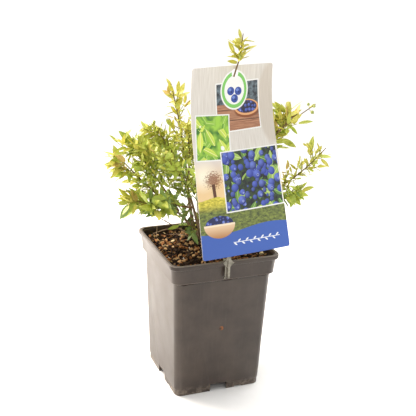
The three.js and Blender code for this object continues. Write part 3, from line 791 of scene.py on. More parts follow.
def compost_bed(material):
    """The dark bed under the chips: a lumpy top on a block that fills the pot."""
    deselect()
    bpy.ops.mesh.primitive_plane_add(size=2 * SOIL_HALF * MM)
    bed = started("compost_bed")
    edit_all()
    bpy.ops.mesh.bevel(offset=SOIL_CORNER * MM, segments=5, affect="VERTICES")
    for axis in (0, 1):
        slice_up(axis, [(2 * i / BED["steps"] - 1) * SOIL_HALF for i in range(1, BED["steps"])])
    bpy.ops.object.mode_set(mode="OBJECT")
    draw = seeded(5)
    for vertex in bed.data.vertices:
        x, y = vertex.co.x / MM, vertex.co.y / MM
        vertex.co.z = (soil_height(x, y) - BED["sunk"] + BED["rough"] * draw()) * MM
    edit_all()
    bpy.ops.mesh.select_mode(type="EDGE")
    bpy.ops.mesh.region_to_loop()
    for fall, half in BED_SIDES:
        bpy.ops.mesh.extrude_edges_move(TRANSFORM_OT_translate={"value": (0, 0, -fall * MM)})
        shrink = half / SOIL_HALF
        bpy.ops.transform.resize(value=(shrink, shrink, 1), center_override=(0, 0, 0))
    bpy.ops.mesh.edge_face_add()
    bpy.ops.mesh.select_mode(type="VERT")
    bpy.ops.object.mode_set(mode="OBJECT")
    recalculate(bed)
    smooth_by_angle(bed, 60)
    dress(bed, "soil", material)
    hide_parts("soil")
    return bed


# Old stalks that lie on the compost or stand broken off at the bush's foot: points and radii.
STALKS = (
    (((-1, 30, 187), (-22, 46, 196), (-47, 60, 210)), (1.1, 0.6)),
    (((-3, 36, 187), (-22, 56, 194), (-38, 65, 204)), (0.9, 0.5)),
    (((-56, 60, 187.5), (-36, 64, 190), (-12, 65, 189)), (1.0, 0.7)),
    (((-54, 50, 186), (-52, 56, 192), (-50, 60, 199)), (0.8, 0.5)),
    (((-8, 26, 187), (-20, 42, 189), (-36, 50, 188)), (0.9, 0.5)),
    (((16, 36, 187), (34, 48, 192), (50, 54, 197)), (0.9, 0.5)),
    (((24, 10, 187), (40, -4, 188.5), (54, -10, 187.5)), (0.8, 0.5)),
)
STALK = {"steps": 18, "step": 2.4, "sides": 7}


def dry_stalks():
    draw = seeded(55)
    tubes = []
    for points, (thick, thin) in STALKS:
        line = points_of(through([Vector(point) for point in points]), STALK["steps"])
        radii = np.linspace(thick, thin, len(line))
        relief = bark_relief(draw, len(line), STALK["step"])
        skin, faces = tube(line, radii, STALK["sides"], relief)
        tubes.append((skin, faces, 0))
    stalks = gathered("dry_stalks", tubes)
    smooth_by_angle(stalks, 60)
    dress(stalks, "bark", bark("dry_grey_stalk", "#5e4a36", "#9a8468", "#35271a"))


class BUSH_OT_compost(bpy.types.Operator):
    """Fills the pot with dark peat and strews bark chips, crumbs, perlite and old stalks over it"""

    bl_idname = "bush.compost"
    bl_label = "Compost"

    def execute(self, context):
        settings = context.scene.bush_compost
        peat = crumbs("damp_peat", "#140c07", "#2c1b0f", 0.95, 2.4)
        compost_bed(peat)
        forms = chip_forms()
        size = settings.chip_size / MM
        bark = [
            crumbs("pine_bark_dark", "#1e1209", "#412b17", 0.85, 1.7),
            crumbs("pine_bark_red", "#684020", "#9a6838", 0.8, 1.7),
            crumbs("pine_bark_tan", "#94704a", "#d0aa78", 0.8, 1.7),
        ]
        chips = scattered("bark_chips", forms, settings.chips, size, 1.1, 41, 3)
        dress(chips, "soil", *bark)
        small = scattered("peat_crumbs", forms[2:3], settings.chips, size * 0.5, 0.8, 42, 1)
        dress(small, "soil", peat)
        pale = scattered("pale_chips", forms[:3], 34, size * 1.1, 0.9, 44, 1)
        dress(pale, "soil", crumbs("split_wood_chip", "#c9ab78", "#efe0bf", 0.75, 2))
        stone = scattered("perlite", forms[2:3], 12, size * 0.9, 0.6, 43, 1)
        dress(stone, "soil", crumbs("expanded_perlite", "#dcd6c8", "#f6f2e8", 0.9, 1.1))
        dry_stalks()
        return {"FINISHED"}


# ---- Picture card and its clip -----------------------------------------------------------------

CARD_AXES = (
    Matrix.Rotation(math.radians(CARD_TURN["yaw"]), 3, "Z")
    @ Matrix.Rotation(-math.radians(CARD_TURN["lean"]), 3, "X")
    @ Matrix.Rotation(-math.radians(CARD_TURN["roll"]), 3, "Y")
)


def card_half(up):
    return (CARD["foot"] + (CARD["head"] - CARD["foot"]) * up / CARD["height"]) / 2


def sheet_at(across, up):
    """How far the sheet lies behind its own flat plane."""
    share = up / CARD["height"]
    bow = CARD_CURL["bow_foot"] + (CARD_CURL["bow_head"] - CARD_CURL["bow_foot"]) * share
    curl = max(0, (share - CARD_CURL["from"]) / (1 - CARD_CURL["from"])) ** 2
    return bow * ((across / card_half(up)) ** 2 - 0.5) - CARD_CURL["forward"] * curl


def on_card(across, up, back):
    return CARD_AXES @ Vector((across, back + sheet_at(across, up), up)) + CARD_FOOT


def card_place(point):
    """Where a point lies against the card: across, up and how far behind its sheet."""
    local = CARD_AXES.transposed() @ (point - CARD_FOOT)
    return local.x, local.z, local.y - sheet_at(local.x, local.z)


def patch_sockets(place, middle, size, turn):
    """What a Mapping node needs for a patch's own coordinates, from -0.5 to 0.5 over its size."""
    rotation = (0, 0, math.radians(turn))
    return {"Vector": place, "Location": (*middle, 0), "Scale": (*size, 1), "Rotation": rotation}


def panel(add, place, middle, size, turn=0):
    """The mask of a straight-sided panel of the print."""
    own = add("Mapping", patch_sockets(place, middle, size, turn), vector_type="TEXTURE")
    far = add("VectorMath", [own], "ABSOLUTE")
    sides = add("SeparateXYZ", [far])
    furthest = add("Math", [sides.outputs[0], sides.outputs[1]], "MAXIMUM")
    return add("Math", [furthest, 0.5], "LESS_THAN")


def away_from(add, place, middle, size, turn=0):
    """How far a place lies from an oval's middle, where 0.5 is its edge."""
    own = add("Mapping", patch_sockets(place, middle, size, turn), vector_type="TEXTURE")
    return add("VectorMath", [own], "LENGTH")


def oval(add, place, middle, size, turn=0):
    return add("Math", [away_from(add, place, middle, size, turn), 0.5], "LESS_THAN")


def leaf_layer(add, place, under, spacing, long, wide, tones, shift=0, keep=0.0):
    """One layer of printed leaves, turned every way, over what is under it. Each is a pointed oval
    with a pale midrib, and keep is the share of them that is left out."""
    at = add("VectorMath", [place, (shift, shift * 0.7, 0)])
    cell = add("TexVoronoi", {"Vector": at, "Scale": 1 / spacing, "Randomness": 0.85})
    chance = add("SeparateColor", [cell.outputs["Color"]])
    offset = add("VectorMath", [at, cell.outputs["Position"]], "SUBTRACT")
    angle = add("Math", [chance.outputs[0], 2.6, 0.2], "MULTIPLY_ADD")
    turned = add("VectorRotate", {"Vector": offset, "Angle": angle}, rotation_type="Z_AXIS")
    sides = add("SeparateXYZ", [turned])
    share = add("Math", [sides.outputs[0], long], "DIVIDE")
    aside = add("Math", [sides.outputs[1]], "ABSOLUTE")
    edge = add("Math", [share, add("Math", [share, -1], "MULTIPLY"), 1], "MULTIPLY_ADD")
    mask = add("Math", [add("Math", [aside, wide], "DIVIDE"), edge], "LESS_THAN")
    kept = add("Math", [chance.outputs[2], keep], "GREATER_THAN")
    mask = add("Math", [mask, kept], "MULTIPLY")
    tone = add("Mix", [chance.outputs[1], tones[0], tones[1]])
    lit = add("Mix", [add("MapRange", [sides.outputs[1], -wide, wide]), tone, tones[1]])
    rib = add("Mix", [add("Math", [aside, 0.4], "LESS_THAN"), lit, tones[2]])
    return add("Mix", [mask, under, rib])


def berry_layer(add, place, under, spacing, radius, shift=0, spread=0.0):
    """Round berries over what is under them, each with a lit side, a bloom and a dark crown."""
    at = add("VectorMath", [place, (shift, shift * 0.6, 0)])
    cell = add("TexVoronoi", {"Vector": at, "Scale": 1 / spacing, "Randomness": 0.6})
    cluster = add("TexNoise", {"Vector": cell.outputs["Position"], "Scale": 1 / 28, "Detail": 1})
    reach = add("MapRange", [cluster, 0.36 + spread, 0.45 + spread, 0, radius])
    offset = add("VectorMath", [at, cell.outputs["Position"]], "SUBTRACT")
    away = add("VectorMath", [offset], "LENGTH")
    lit_at = add("VectorMath", [offset, (-0.3 * radius, 0.4 * radius, 0)], "DISTANCE")
    lit = add("MapRange", [lit_at, 1.35 * radius, 0.1 * radius])
    body = add("Mix", [lit, "#1c2563", "#7d92e6"])
    tone = add("SeparateColor", [cell.outputs["Color"]]).outputs[0]
    body = add("Mix", [add("Math", [tone, 0.5], "MULTIPLY"), body, "#3c4fbd"])
    crown_at = add("VectorMath", [offset, (0.26 * radius, -0.22 * radius, 0)], "DISTANCE")
    from_ring = add("Math", [crown_at, 0.26 * radius], "SUBTRACT")
    ring = add("MapRange", [add("Math", [from_ring], "ABSOLUTE"), 0.7, 0.2])
    body = add("Mix", [add("Math", [ring, 0.7], "MULTIPLY"), body, "#aab6ea"])
    pit = add("MapRange", [crown_at, 0.24 * radius, 0.12 * radius])
    body = add("Mix", [pit, body, "#141a40"])
    return add("Mix", [add("Math", [away, reach], "LESS_THAN"), under, body])


def berry_print(add, place):
    """Clusters of blue berries in front of dark leaves."""
    deep = add("TexNoise", {"Vector": place, "Scale": 1 / 8.3, "Detail": 4, "Roughness": 0.7})
    ground = add("Mix", [add("MapRange", [deep, 0.4, 0.62]), "#1b1a26", "#3c5230"])
    ground = leaf_layer(add, place, ground, 17, 9, 3.6, ("#35562c", "#6f9c46", "#a9c676"), 31, 0.25)
    ground = leaf_layer(add, place, ground, 23, 12, 4.4, ("#5f8b3a", "#a8c763", "#d4e29a"), 77, 0.55)
    ground = berry_layer(add, place, ground, 9.4, 4.6, 13, 0.04)
    return berry_layer(add, place, ground, 11.5, 5.7, 50)


def leaf_print(add, place):
    """Bright young leaves, lapped over each other in the light, with a few pale bells."""
    deep = add("TexNoise", {"Vector": place, "Scale": 1 / 17, "Detail": 2})
    ground = add("Mix", [add("MapRange", [deep, 0.38, 0.6]), "#3f7a2a", "#a5d44a"])
    ground = leaf_layer(add, place, ground, 13, 9, 3.2, ("#4f8f2c", "#9ccc48", "#c9e27c"), 11, 0.1)
    ground = leaf_layer(add, place, ground, 18, 13, 4.2, ("#8fc23a", "#dcea62", "#f1f3a4"), 43, 0.2)
    return leaf_layer(add, place, ground, 21, 3.4, 2.6, ("#e9efdc", "#ffffff", "#f6f8ee"), 90, 0.6)


def plank_print(add, place):
    """A turned wooden dish of berries on brown planks, against dark slate."""
    fine = add("Mapping", {"Vector": place, "Scale": (1 / 20, 1 / 1.1, 1)})
    grain = add("TexNoise", {"Vector": fine, "Scale": 1, "Detail": 5, "Roughness": 0.6})
    wood = add("Mix", [add("MapRange", [grain, 0.3, 0.7]), "#7d4a34", "#d09a74"])
    up = add("SeparateXYZ", [place]).outputs[1]
    joint = add("Math", [add("Math", [up, 6.5], "PINGPONG"), 0.35], "LESS_THAN")
    wood = add("Mix", [joint, wood, "#3a2118"])
    rock = add("TexNoise", {"Vector": place, "Scale": 1 / 6, "Detail": 5, "Roughness": 0.65})
    slate = add("Mix", [add("MapRange", [rock, 0.4, 0.62]), "#2b3036", "#6f8088"])
    shown = add("Mix", [add("Math", [up, 189], "GREATER_THAN"), wood, slate])
    shade = add("MapRange", [away_from(add, place, (20, 178), (42, 14)), 0.5, 0.4])
    shown = add("Mix", [add("Math", [shade, 0.7], "MULTIPLY"), shown, "#2f1a12"])
    shown = add("Mix", [oval(add, place, (19, 182), (38, 22)), shown, "#8c4d27"])
    shown = add("Mix", [oval(add, place, (19, 184), (38, 20)), shown, "#e8ab74"])
    shown = add("Mix", [oval(add, place, (19, 184.6), (33, 16)), shown, "#5a3a4c"])
    berries = berry_layer(add, place, "#2a2740", 5.2, 2.5, 5, -0.3)
    return add("Mix", [oval(add, place, (19, 184.6), (31, 14.4)), shown, berries])


def field_print(add, place):
    """A low sun behind a bare old tree, over rows of bushes which come nearer and darker below."""
    sides = add("SeparateXYZ", [place])
    up = sides.outputs[1]
    sun = add("VectorMath", [place, (-52, 104, 0)], "DISTANCE")
    sky = add("Mix", [add("MapRange", [up, 92, 130]), "#f0cf9b", "#dcd9da"])
    sky = add("Mix", [add("MapRange", [sun, 22, 3]), sky, "#fff6dc"])
    # The tree's twigs are a fine net of dark noise in a round crown, thinner towards its edge.
    net = add("TexNoise", {"Vector": place, "Scale": 1 / 2, "Detail": 5, "Roughness": 0.8})
    crown = away_from(add, place, (-39, 98), (34, 32))
    thick = add("Math", [add("MapRange", [crown, 0.5, 0.1]), 0.25, 0.36], "MULTIPLY_ADD")
    dark = add("Math", [net, thick], "LESS_THAN")
    twigs = add("Math", [dark, add("Math", [crown, 0.5], "LESS_THAN")], "MULTIPLY")
    sky = add("Mix", [add("Math", [twigs, 0.85], "MULTIPLY"), sky, "#8a4f2c"])
    sky = add("Mix", [panel(add, place, (-39, 82), (4.4, 22), 4), sky, "#5e3a26"])
    wave = add("TexNoise", {"Vector": place, "Scale": 1 / 33, "Detail": 3})
    ridge = add("Math", [wave, 14, 68], "MULTIPLY_ADD")
    rows_at = add("Mapping", {"Vector": place, "Scale": (1 / 6, 1 / 3.3, 1)})
    rows = add("TexNoise", {"Vector": rows_at, "Scale": 1, "Detail": 6, "Roughness": 0.75})
    near = add("Mix", [add("MapRange", [rows, 0.38, 0.66]), "#3f4a2c", "#93a04a"])
    far = add("Mix", [add("MapRange", [rows, 0.4, 0.6]), "#a8a02c", "#efe05a"])
    land = add("Mix", [add("MapRange", [up, 58, 68]), near, far])
    return add("Mix", [add("Math", [up, ridge], "LESS_THAN"), sky, land])


def card_print(paper, band):
    """Offset print on a laminated sheet: crisp flat inks under an even gloss. The motifs are plain
    ones: berries, leaves, a dish, a field, a bowl and a ringed patch, with no lettering."""
    material, add, shader = new_material("laminated_print", paper, 0.32, 1.5, Coat_Weight=0.25)
    uv = add("UVMap", uv_map="UVMap")
    shifted = add("VectorMath", [uv, (0.5, 0, 0)], "SUBTRACT")
    size = (CARD["foot"], CARD["height"], 1)
    place = add("VectorMath", [shifted, size], "MULTIPLY")
    up = add("SeparateXYZ", [place]).outputs[1]
    # The head of the card is pale limed wood, with fine upright grain and one soft shade.
    tall = add("Mapping", {"Vector": place, "Scale": (1 / 0.9, 1 / 30, 1)})
    grain = add("TexNoise", {"Vector": tall, "Scale": 1, "Detail": 3})
    shown = add("Mix", [add("MapRange", [grain, 0.3, 0.75]), "#e9e4dc", "#cfc8bc"])
    shade = add("MapRange", [away_from(add, place, (58, 186), (44, 110)), 0.5, 0.42])
    shown = add("Mix", [add("Math", [shade, 0.5], "MULTIPLY"), shown, "#c2b39f"])
    shown = add("Mix", [add("Math", [up, 124], "LESS_THAN"), shown, field_print(add, place)])
    white = "#f4f3ef"
    for middle, extent, turn, picture in (
        ((6, 186), (64, 58), 2, plank_print),
        ((-34, 150), (46, 54), -3, leaf_print),
        ((18, 94), (84, 74), 1, berry_print),
    ):
        border = (extent[0] + 3.2, extent[1] + 3.2)
        shown = add("Mix", [panel(add, place, middle, border, turn), shown, white])
        shown = add("Mix", [panel(add, place, middle, extent, turn), shown, picture(add, place)])
    # The blue band has a slow wave for its upper edge.
    across = add("SeparateXYZ", [place]).outputs[0]
    wave = add("Math", [add("Math", [across, 0.045], "MULTIPLY")], "SINE")
    crest = add("Math", [wave, 3.5, 33], "MULTIPLY_ADD")
    shown = add("Mix", [add("Math", [up, crest], "LESS_THAN"), shown, band])
    for motif in (bowl_motif, sprig_motif, patch_motif):
        shown = motif(add, place, shown)
    feed(shader.inputs["Base Color"], shown)
    return material


def bowl_motif(add, place, shown):
    """A turned wooden bowl heaped with berries, low on the left."""
    heap = berry_layer(add, place, "#232a58", 4.6, 2.3, 21, -0.3)
    shown = add("Mix", [oval(add, place, (-36, 43), (38, 20)), shown, heap])
    up = add("SeparateXYZ", [place]).outputs[1]
    below = add("Math", [up, 42], "LESS_THAN")
    side = add("Math", [oval(add, place, (-36, 42), (43, 34)), below], "MULTIPLY")
    wood = add("Mix", [add("MapRange", [up, 26, 42]), "#b9824f", "#f0d3ad"])
    shown = add("Mix", [side, shown, wood])
    return add("Mix", [panel(add, place, (-36, 41.4), (43, 2.4)), shown, "#f7e4c8"])


SPRIG = {"middle": 15, "line": 17, "half": 34, "step": 5.6}


def sprig_motif(add, place, shown):
    """A long white sprig along the blue band: a thin stalk with leaves on either side by turns."""
    white = "#eef1f6"
    sides = add("SeparateXYZ", [place])
    start = SPRIG["middle"] - SPRIG["half"]
    run = add("Math", [sides.outputs[0], start], "SUBTRACT")
    steps = add("Math", [run, SPRIG["step"]], "DIVIDE")
    part = add("Math", [add("Math", [steps], "FRACT"), 0.5], "SUBTRACT")
    odd = add("Math", [add("Math", [steps], "FLOOR"), 2], "MODULO")
    turn = add("Math", [odd, 2, -1], "MULTIPLY_ADD")
    along_leaf = add("Math", [part, SPRIG["step"]], "MULTIPLY")
    lift = add("Math", [sides.outputs[1], SPRIG["line"]], "SUBTRACT")
    rise = add("Math", [turn, -2.1, lift], "MULTIPLY_ADD")
    lean = add("Math", [add("Math", [along_leaf, turn], "MULTIPLY"), -0.55], "MULTIPLY")
    high = add("Math", [rise, lean], "ADD")
    long = add("Math", [along_leaf, 2], "POWER")
    wide = add("Math", [add("Math", [high, 2], "POWER"), 3.2], "MULTIPLY")
    oval_at = add("Math", [long, wide], "ADD")
    leaf = add("Math", [oval_at, 4.2], "LESS_THAN")
    stalk = add("Math", [add("Math", [lift], "ABSOLUTE"), 0.45], "LESS_THAN")
    window = panel(add, place, (SPRIG["middle"], SPRIG["line"]), (2 * SPRIG["half"], 12))
    drawn = add("Math", [add("Math", [leaf, stalk], "MAXIMUM"), window], "MULTIPLY")
    return add("Mix", [drawn, shown, white])


def patch_motif(add, place, shown):
    """A white patch with a green ring round the card's hole, and three plain blue berries."""
    middle = (CARD_HOLE["across"], 206)
    shown = add("Mix", [oval(add, place, middle, (42, 48)), shown, "#f6f6f2"])
    away = away_from(add, place, middle, (38, 44))
    inside = add("Math", [away, 0.5], "LESS_THAN")
    ring = add("Math", [inside, add("Math", [away, 0.4], "GREATER_THAN")], "MULTIPLY")
    shown = add("Mix", [ring, shown, "#7fca62"])
    for across, up in ((-5.4, 205), (6, 204.4), (0.4, 195.6)):
        for spot, size, tone in (
            ((across, up), (10.6, 10.2), "#2f4c9f"),
            ((across - 1.4, up + 1.6), (4.4, 3.6), "#6f8ad2"),
            ((across + 1, up - 1.2), (2.4, 2.4), "#1c2c66"),
        ):
            shown = add("Mix", [oval(add, place, spot, size), shown, tone])
    return shown


def flat_card(name):
    """The card before it is bent: x across, y up, its printed side facing up."""
    deselect()
    bpy.ops.mesh.primitive_plane_add(size=1)
    piece = started(name)
    edit_all()
    bpy.ops.transform.resize(value=(CARD["foot"] * MM, CARD["height"] * MM, 1), center_override=(0, 0, 0))
    bpy.ops.mesh.bevel(offset=CARD["corner"] * MM, segments=5, affect="VERTICES")
    for axis, half, step in ((0, CARD["foot"] / 2, CARD_STEPS[0]), (1, CARD["height"] / 2, CARD_STEPS[1])):
        slice_up(axis, [i * step - half for i in range(1, round(2 * half / step))])
    bpy.ops.object.mode_set(mode="OBJECT")
    apply_modifier(piece, "SOLIDIFY", thickness=CARD["thick"] * MM, offset=0)
    up = CARD["height"] / 2 - CARD_HOLE["below"]
    hole = disc_piece("hole", CARD_HOLE["radius"], -5, 5, CARD_HOLE["across"], up, 40)
    cut(piece, hole)
    return piece


class BUSH_OT_card(bpy.types.Operator):
    """Models the curled picture card and the clip that holds it on the pot's lip"""

    bl_idname = "bush.card"
    bl_label = "Card and clip"

    def execute(self, context):
        settings = context.scene.bush_card
        card = flat_card("picture_card_sheet")
        for vertex in card.data.vertices:
            up = vertex.co.y / MM + CARD["height"] / 2
            across = vertex.co.x / MM * card_half(up) / (CARD["foot"] / 2)
            vertex.co = on_card(across, up, -vertex.co.z / MM) * MM
        dress(card, "card", card_print(settings.paper, settings.band), card_core(settings.paper))
        front = CARD_AXES @ Vector((0, -1, 0))
        for face in card.data.polygons:
            face.material_index = 0 if face.normal.dot(front) > 0.3 else 1
        smooth_by_angle(card, 40)
        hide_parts("picture_card")
        clip = moulded_clip()
        dress(clip, "clip", clip_plastic())
        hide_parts("card_clip")
        return {"FINISHED"}


# The clip hooks over the lip: a winged head under the card, and a ribbed prong down the collar.
CLIP = {"x": -0.5, "wide": 15, "neck": 5.1, "wing": 7, "foot": 172.5, "inner": 188.6, "skin": 1.4}
CLIP_BRIDGE = 4.6  # half the width of what goes over the lip
CLIP_BELOW = 2.6  # from the card's foot down to the head's top
CLIP_EDGE = 0.9  # of the head: how wide its raised edge is, and how deep the front is sunk
CLIP_FACES = {"ribs": 3.5, "head": 2.3, "web": 1.0}  # how far each stands in front of the lip
RIBS = {"right": (-0.7, 1.6), "left": (-4.5, -4.0), "short": 3}
TONGUE = {"width": 5.4, "thick": 1.1, "root": -5, "tip": 14}


def clip_head(front, top, wing_top):
    """The head plate, cut to six sides, with its front sunk inside a raised edge."""
    half = CLIP["wide"] / 2
    foot = wing_top - CLIP["wing"]
    low = (CLIP["x"] - half, front - CLIP_FACES["head"], foot)
    head = box_piece("moulded_clip", low, (CLIP["x"] + half, front, top))
    bpy.ops.object.mode_set(mode="EDIT")
    for side in (-1, 1):
        wing = Vector((CLIP["x"] + side * half, 0, wing_top))
        for end in (foot, top):
            edge = Vector((CLIP["x"] + side * CLIP["neck"], 0, end)) - wing
            normal = Vector((abs(edge.z) * side, 0, abs(edge.x) * (1 if end == top else -1)))
            bpy.ops.mesh.select_all(action="SELECT")
            bpy.ops.mesh.bisect(plane_co=wing * MM, plane_no=normal, clear_outer=True, use_fill=True)
    bpy.ops.mesh.select_mode(type="FACE")
    bpy.ops.mesh.select_all(action="DESELECT")
    bpy.ops.object.mode_set(mode="OBJECT")
    for face in head.data.polygons:
        face.select = face.normal.y < -0.9
    bpy.ops.object.mode_set(mode="EDIT")
    bpy.ops.mesh.inset(thickness=CLIP_EDGE * MM, depth=-CLIP_EDGE * MM)
    bpy.ops.mesh.select_mode(type="VERT")
    bpy.ops.object.mode_set(mode="OBJECT")
    return head


def clip_tongue(front):
    """The tongue that stands behind the card's foot."""
    across = card_place(Vector((CLIP["x"], front, CARD_FOOT.z)))[0]
    behind = CARD["thick"] / 2 + GAP + TONGUE["thick"] / 2
    long = TONGUE["tip"] - TONGUE["root"]
    half = Vector((TONGUE["width"], TONGUE["thick"], long)) / 2
    tongue = box_piece("tongue", -half, half)
    at = on_card(across, (TONGUE["tip"] + TONGUE["root"]) / 2, behind)
    tongue.matrix_world = Matrix.Translation(at * MM) @ CARD_AXES.to_4x4()
    to_mesh_place(tongue)
    return tongue


def moulded_clip():
    front = -RIM_HALF - GAP
    back = -RIM_HALF + LIP_WIDTH + GAP
    over = POT_HEIGHT + GAP
    skin, foot, x = CLIP["skin"], CLIP["foot"], CLIP["x"]
    top = CARD_FOOT.z - CLIP_BELOW
    ribs_face = front - CLIP_FACES["ribs"]
    web_face = front - CLIP_FACES["web"]
    left, right = RIBS["left"], RIBS["right"]
    clip = clip_head(front, top, over - skin)
    for low, high in (
        ((x - CLIP_BRIDGE, web_face, over), (x + CLIP_BRIDGE, back + skin, over + skin)),
        ((x - CLIP_BRIDGE, back, CLIP["inner"]), (x + CLIP_BRIDGE, back + skin, over + skin)),
        ((x + left[0], web_face, foot), (x + right[1], front + 0.1, over - skin - 1)),
        ((x + right[0], ribs_face, foot), (x + right[1], front, top)),
        ((x + left[0], ribs_face + 1.3, foot + RIBS["short"]), (x + left[1], front, over - 2)),
        ((x + left[0] - 0.6, ribs_face + 0.6, foot), (x + left[1], front + 2.6, foot + skin)),
    ):
        cut(clip, box_piece("part", low, high), "UNION")
    cut(clip, clip_tongue(front), "UNION")
    sharp = {"limit_method": "ANGLE", "angle_limit": math.radians(40)}
    apply_modifier(clip, "BEVEL", width=0.2 * MM, segments=2, **sharp)
    smooth_by_angle(clip, 35)
    return clip


def card_core(paper):
    """The card's plain back and cut edges: white polypropylene sheet with a faint roller grain."""
    material, add, shader = new_material("white_sheet", paper, 0.45, 1.49)
    place = add("TexCoord").outputs["Object"]
    grain = add("TexNoise", {"Vector": place, "Scale": every(1.1), "Detail": 2})
    feed(shader.inputs["Base Color"], add("Mix", [grain, "#f4f2ed", "#e2dfd8"]))
    bump = add("Bump", {"Height": grain, "Distance": 0.03 * MM, "Strength": 0.4})
    feed(shader.inputs["Normal"], bump)
    return material


def clip_plastic():
    """Clear grey polypropylene, moulded thin: pale where it stands proud, and darker in its hollows,
    partly where the pot shows through and partly as painted shade."""
    grey = linear("#9d978a")
    clear = {"Transmission_Weight": 0.25}
    material, add, shader = new_material("clear_grey_polypropylene", grey, 0.26, 1.49, **clear)
    place = add("TexCoord").outputs["Object"]
    cloud = add("TexNoise", {"Vector": place, "Scale": every(3.8), "Detail": 3})
    tone = add("Mix", [add("MapRange", [cloud, 0.35, 0.7]), "#8f897a", "#c2bcab"])
    depth = add("SeparateXYZ", [place]).outputs[1]
    # Painted shade: faces sunk near the lip, behind the ribs, are darkened; partly this is the dark pot
    # showing through thin plastic.
    hollow_shade = add("MapRange", [depth, -(RIM_HALF + 1.8) * MM, -(RIM_HALF + 1.1) * MM])
    in_front = add("Math", [depth, -(RIM_HALF - 1) * MM], "LESS_THAN")
    dark = add("Math", [hollow_shade, in_front], "MULTIPLY")
    feed(shader.inputs["Base Color"], add("Mix", [dark, tone, "#5a5244"]))
    return material


# ---- Growth: paths of limbs, stems and twigs ---------------------------------------------------


def place_of(spot):
    """A place in the crown from its heading in degrees, its reach and its rise."""
    heading, reach, rise = spot
    turn = math.radians(heading)
    return FOOT + Vector((reach * math.cos(turn), reach * math.sin(turn), rise))


def square_to(direction):
    """Two directions square to a direction, the first as near level as it can be."""
    first = direction.cross(UP)
    if first.length_squared < 1e-6:
        first = Vector((1, 0, 0))
    first.normalize()
    return first, first.cross(direction).normalized()


def sweep(start, direction, end, keep):
    """The path of a shoot that sets out in a direction and ends at a place, by its share."""
    control = start + direction * (end - start).length * keep

    def at(share):
        return start * (1 - share) ** 2 + control * 2 * share * (1 - share) + end * share**2

    return at


def through(points):
    """A smooth path through some points, by its share."""
    first = points[0] * 2 - points[1]
    last = points[-1] * 2 - points[-2]
    knots = [first, *points, last]

    def at(share):
        span = share * (len(points) - 1)
        i = min(int(span), len(points) - 2)
        t = span - i
        a, b, c, d = knots[i : i + 4]
        out, into = (c - a) * 0.5, (d - b) * 0.5
        bend = (b - c) * 2 + out + into
        rise = (c - b) * 3 - out * 2 - into
        return bend * t**3 + rise * t**2 + out * t + b

    return at


def points_of(path, steps):
    return [path(i / steps) for i in range(steps + 1)]


def along(points, share):
    """The point at a share of a line of points, and the direction there."""
    span = len(points) - 1
    i = min(int(share * span), span - 1)
    ahead = points[i + 1] - points[i]
    return points[i] + ahead * (share * span - i), ahead.normalized()


def sampled(points, count):
    return [along(points, i / (count - 1))[0] for i in range(count)]


def length_of(points):
    return sum((b - a).length for a, b in zip(points, points[1:]))


def branch_off(ahead, angle, turn):
    """A direction at an angle to a shoot, turned round it."""
    first, second = square_to(ahead)
    side = first * math.cos(math.radians(turn)) + second * math.sin(math.radians(turn))
    return (ahead * math.cos(math.radians(angle)) + side * math.sin(math.radians(angle))).normalized()


BARE = 0.25  # the share of a stem that carries no leaves
BARE_STEMS = {"foliage_top": 0.66, "foliage_right": 0.93, "foliage_left_low": 0.45}
# How far apart the leaves of a mass stand and how large they are, against the rest.
LEAF_SPACING = {
    "foliage_top": 0.6,
    "foliage_front_left": 0.75,
    "foliage_left_inner": 0.75,
    "foliage_left_second": 0.8,
    "foliage_right_low": 0.75,
}
LEAFAGE = {
    "foliage_front_left": 0.6,
    "foliage_left_inner": 0.6,
    "foliage_left_second": 0.7,
    "foliage_left_leader": 0.9,
    "foliage_right_cluster": 1.15,
    "foliage_right_low": 0.72,
    "foliage_right_far": 0.7,
    "foliage_top": 0.85,
}
# The shares of a stem between which it has side twigs.
TWIGGED = {"foliage_right": (0, 0.72), "foliage_top": (0.7, 1)}

STEM_TIP = 0.55
STEM_SITES = 14
SOLID_STEPS = {"cane": 5, "bough": 3, "stem": 7, "threaded": 8}
THREAD = {"below": 30, "behind": 19, "above": 17, "before": 9.5}


def limbs():
    """Every cane and bough: its path, the line that the solids use, and its radii."""
    grown = {}
    for name, (base, spot, radii) in CANES.items():
        end = place_of(spot)
        turn = math.radians(base)
        start = FOOT + Vector((math.cos(turn), math.sin(turn), 0)) * FOOT_RING
        start.z += GAP
        aim = end - start
        aim.z = 0
        setting_out = (UP + aim.normalized() * CANE_LEAN).normalized()
        path = sweep(start, setting_out, end, CANE_KEEP)
        grown[name] = {"path": path, "line": points_of(path, SOLID_STEPS["cane"]), "radii": radii}
    for name, (cane_name, spot, radii) in BOUGHS.items():
        cane = grown[cane_name]
        end = place_of(spot)
        point, ahead = along(cane["line"], FORK)
        aim = (end - point).normalized()
        side = (aim - ahead * aim.dot(ahead)).normalized()
        cane_radius = cane["radii"][0] + (cane["radii"][1] - cane["radii"][0]) * FORK
        clear = cane_radius + radii[0] * abs(aim.dot(ahead)) + GAP
        path = sweep(point + side * clear, aim, end, BOUGH_KEEP)
        line = points_of(path, SOLID_STEPS["bough"])
        grown[name] = {"path": path, "line": line, "radii": radii, "root": point}
    return grown


def threaded(start, end):
    """The leading shoot's path, from behind the card through its hole."""
    hole = CARD["height"] - CARD_HOLE["below"]
    across = CARD_HOLE["across"]
    return through(
        [
            start,
            on_card(across, hole - THREAD["below"], THREAD["behind"]),
            on_card(across, hole, 0),
            on_card(across, hole + THREAD["above"], -THREAD["before"]),
            end,
        ]
    )


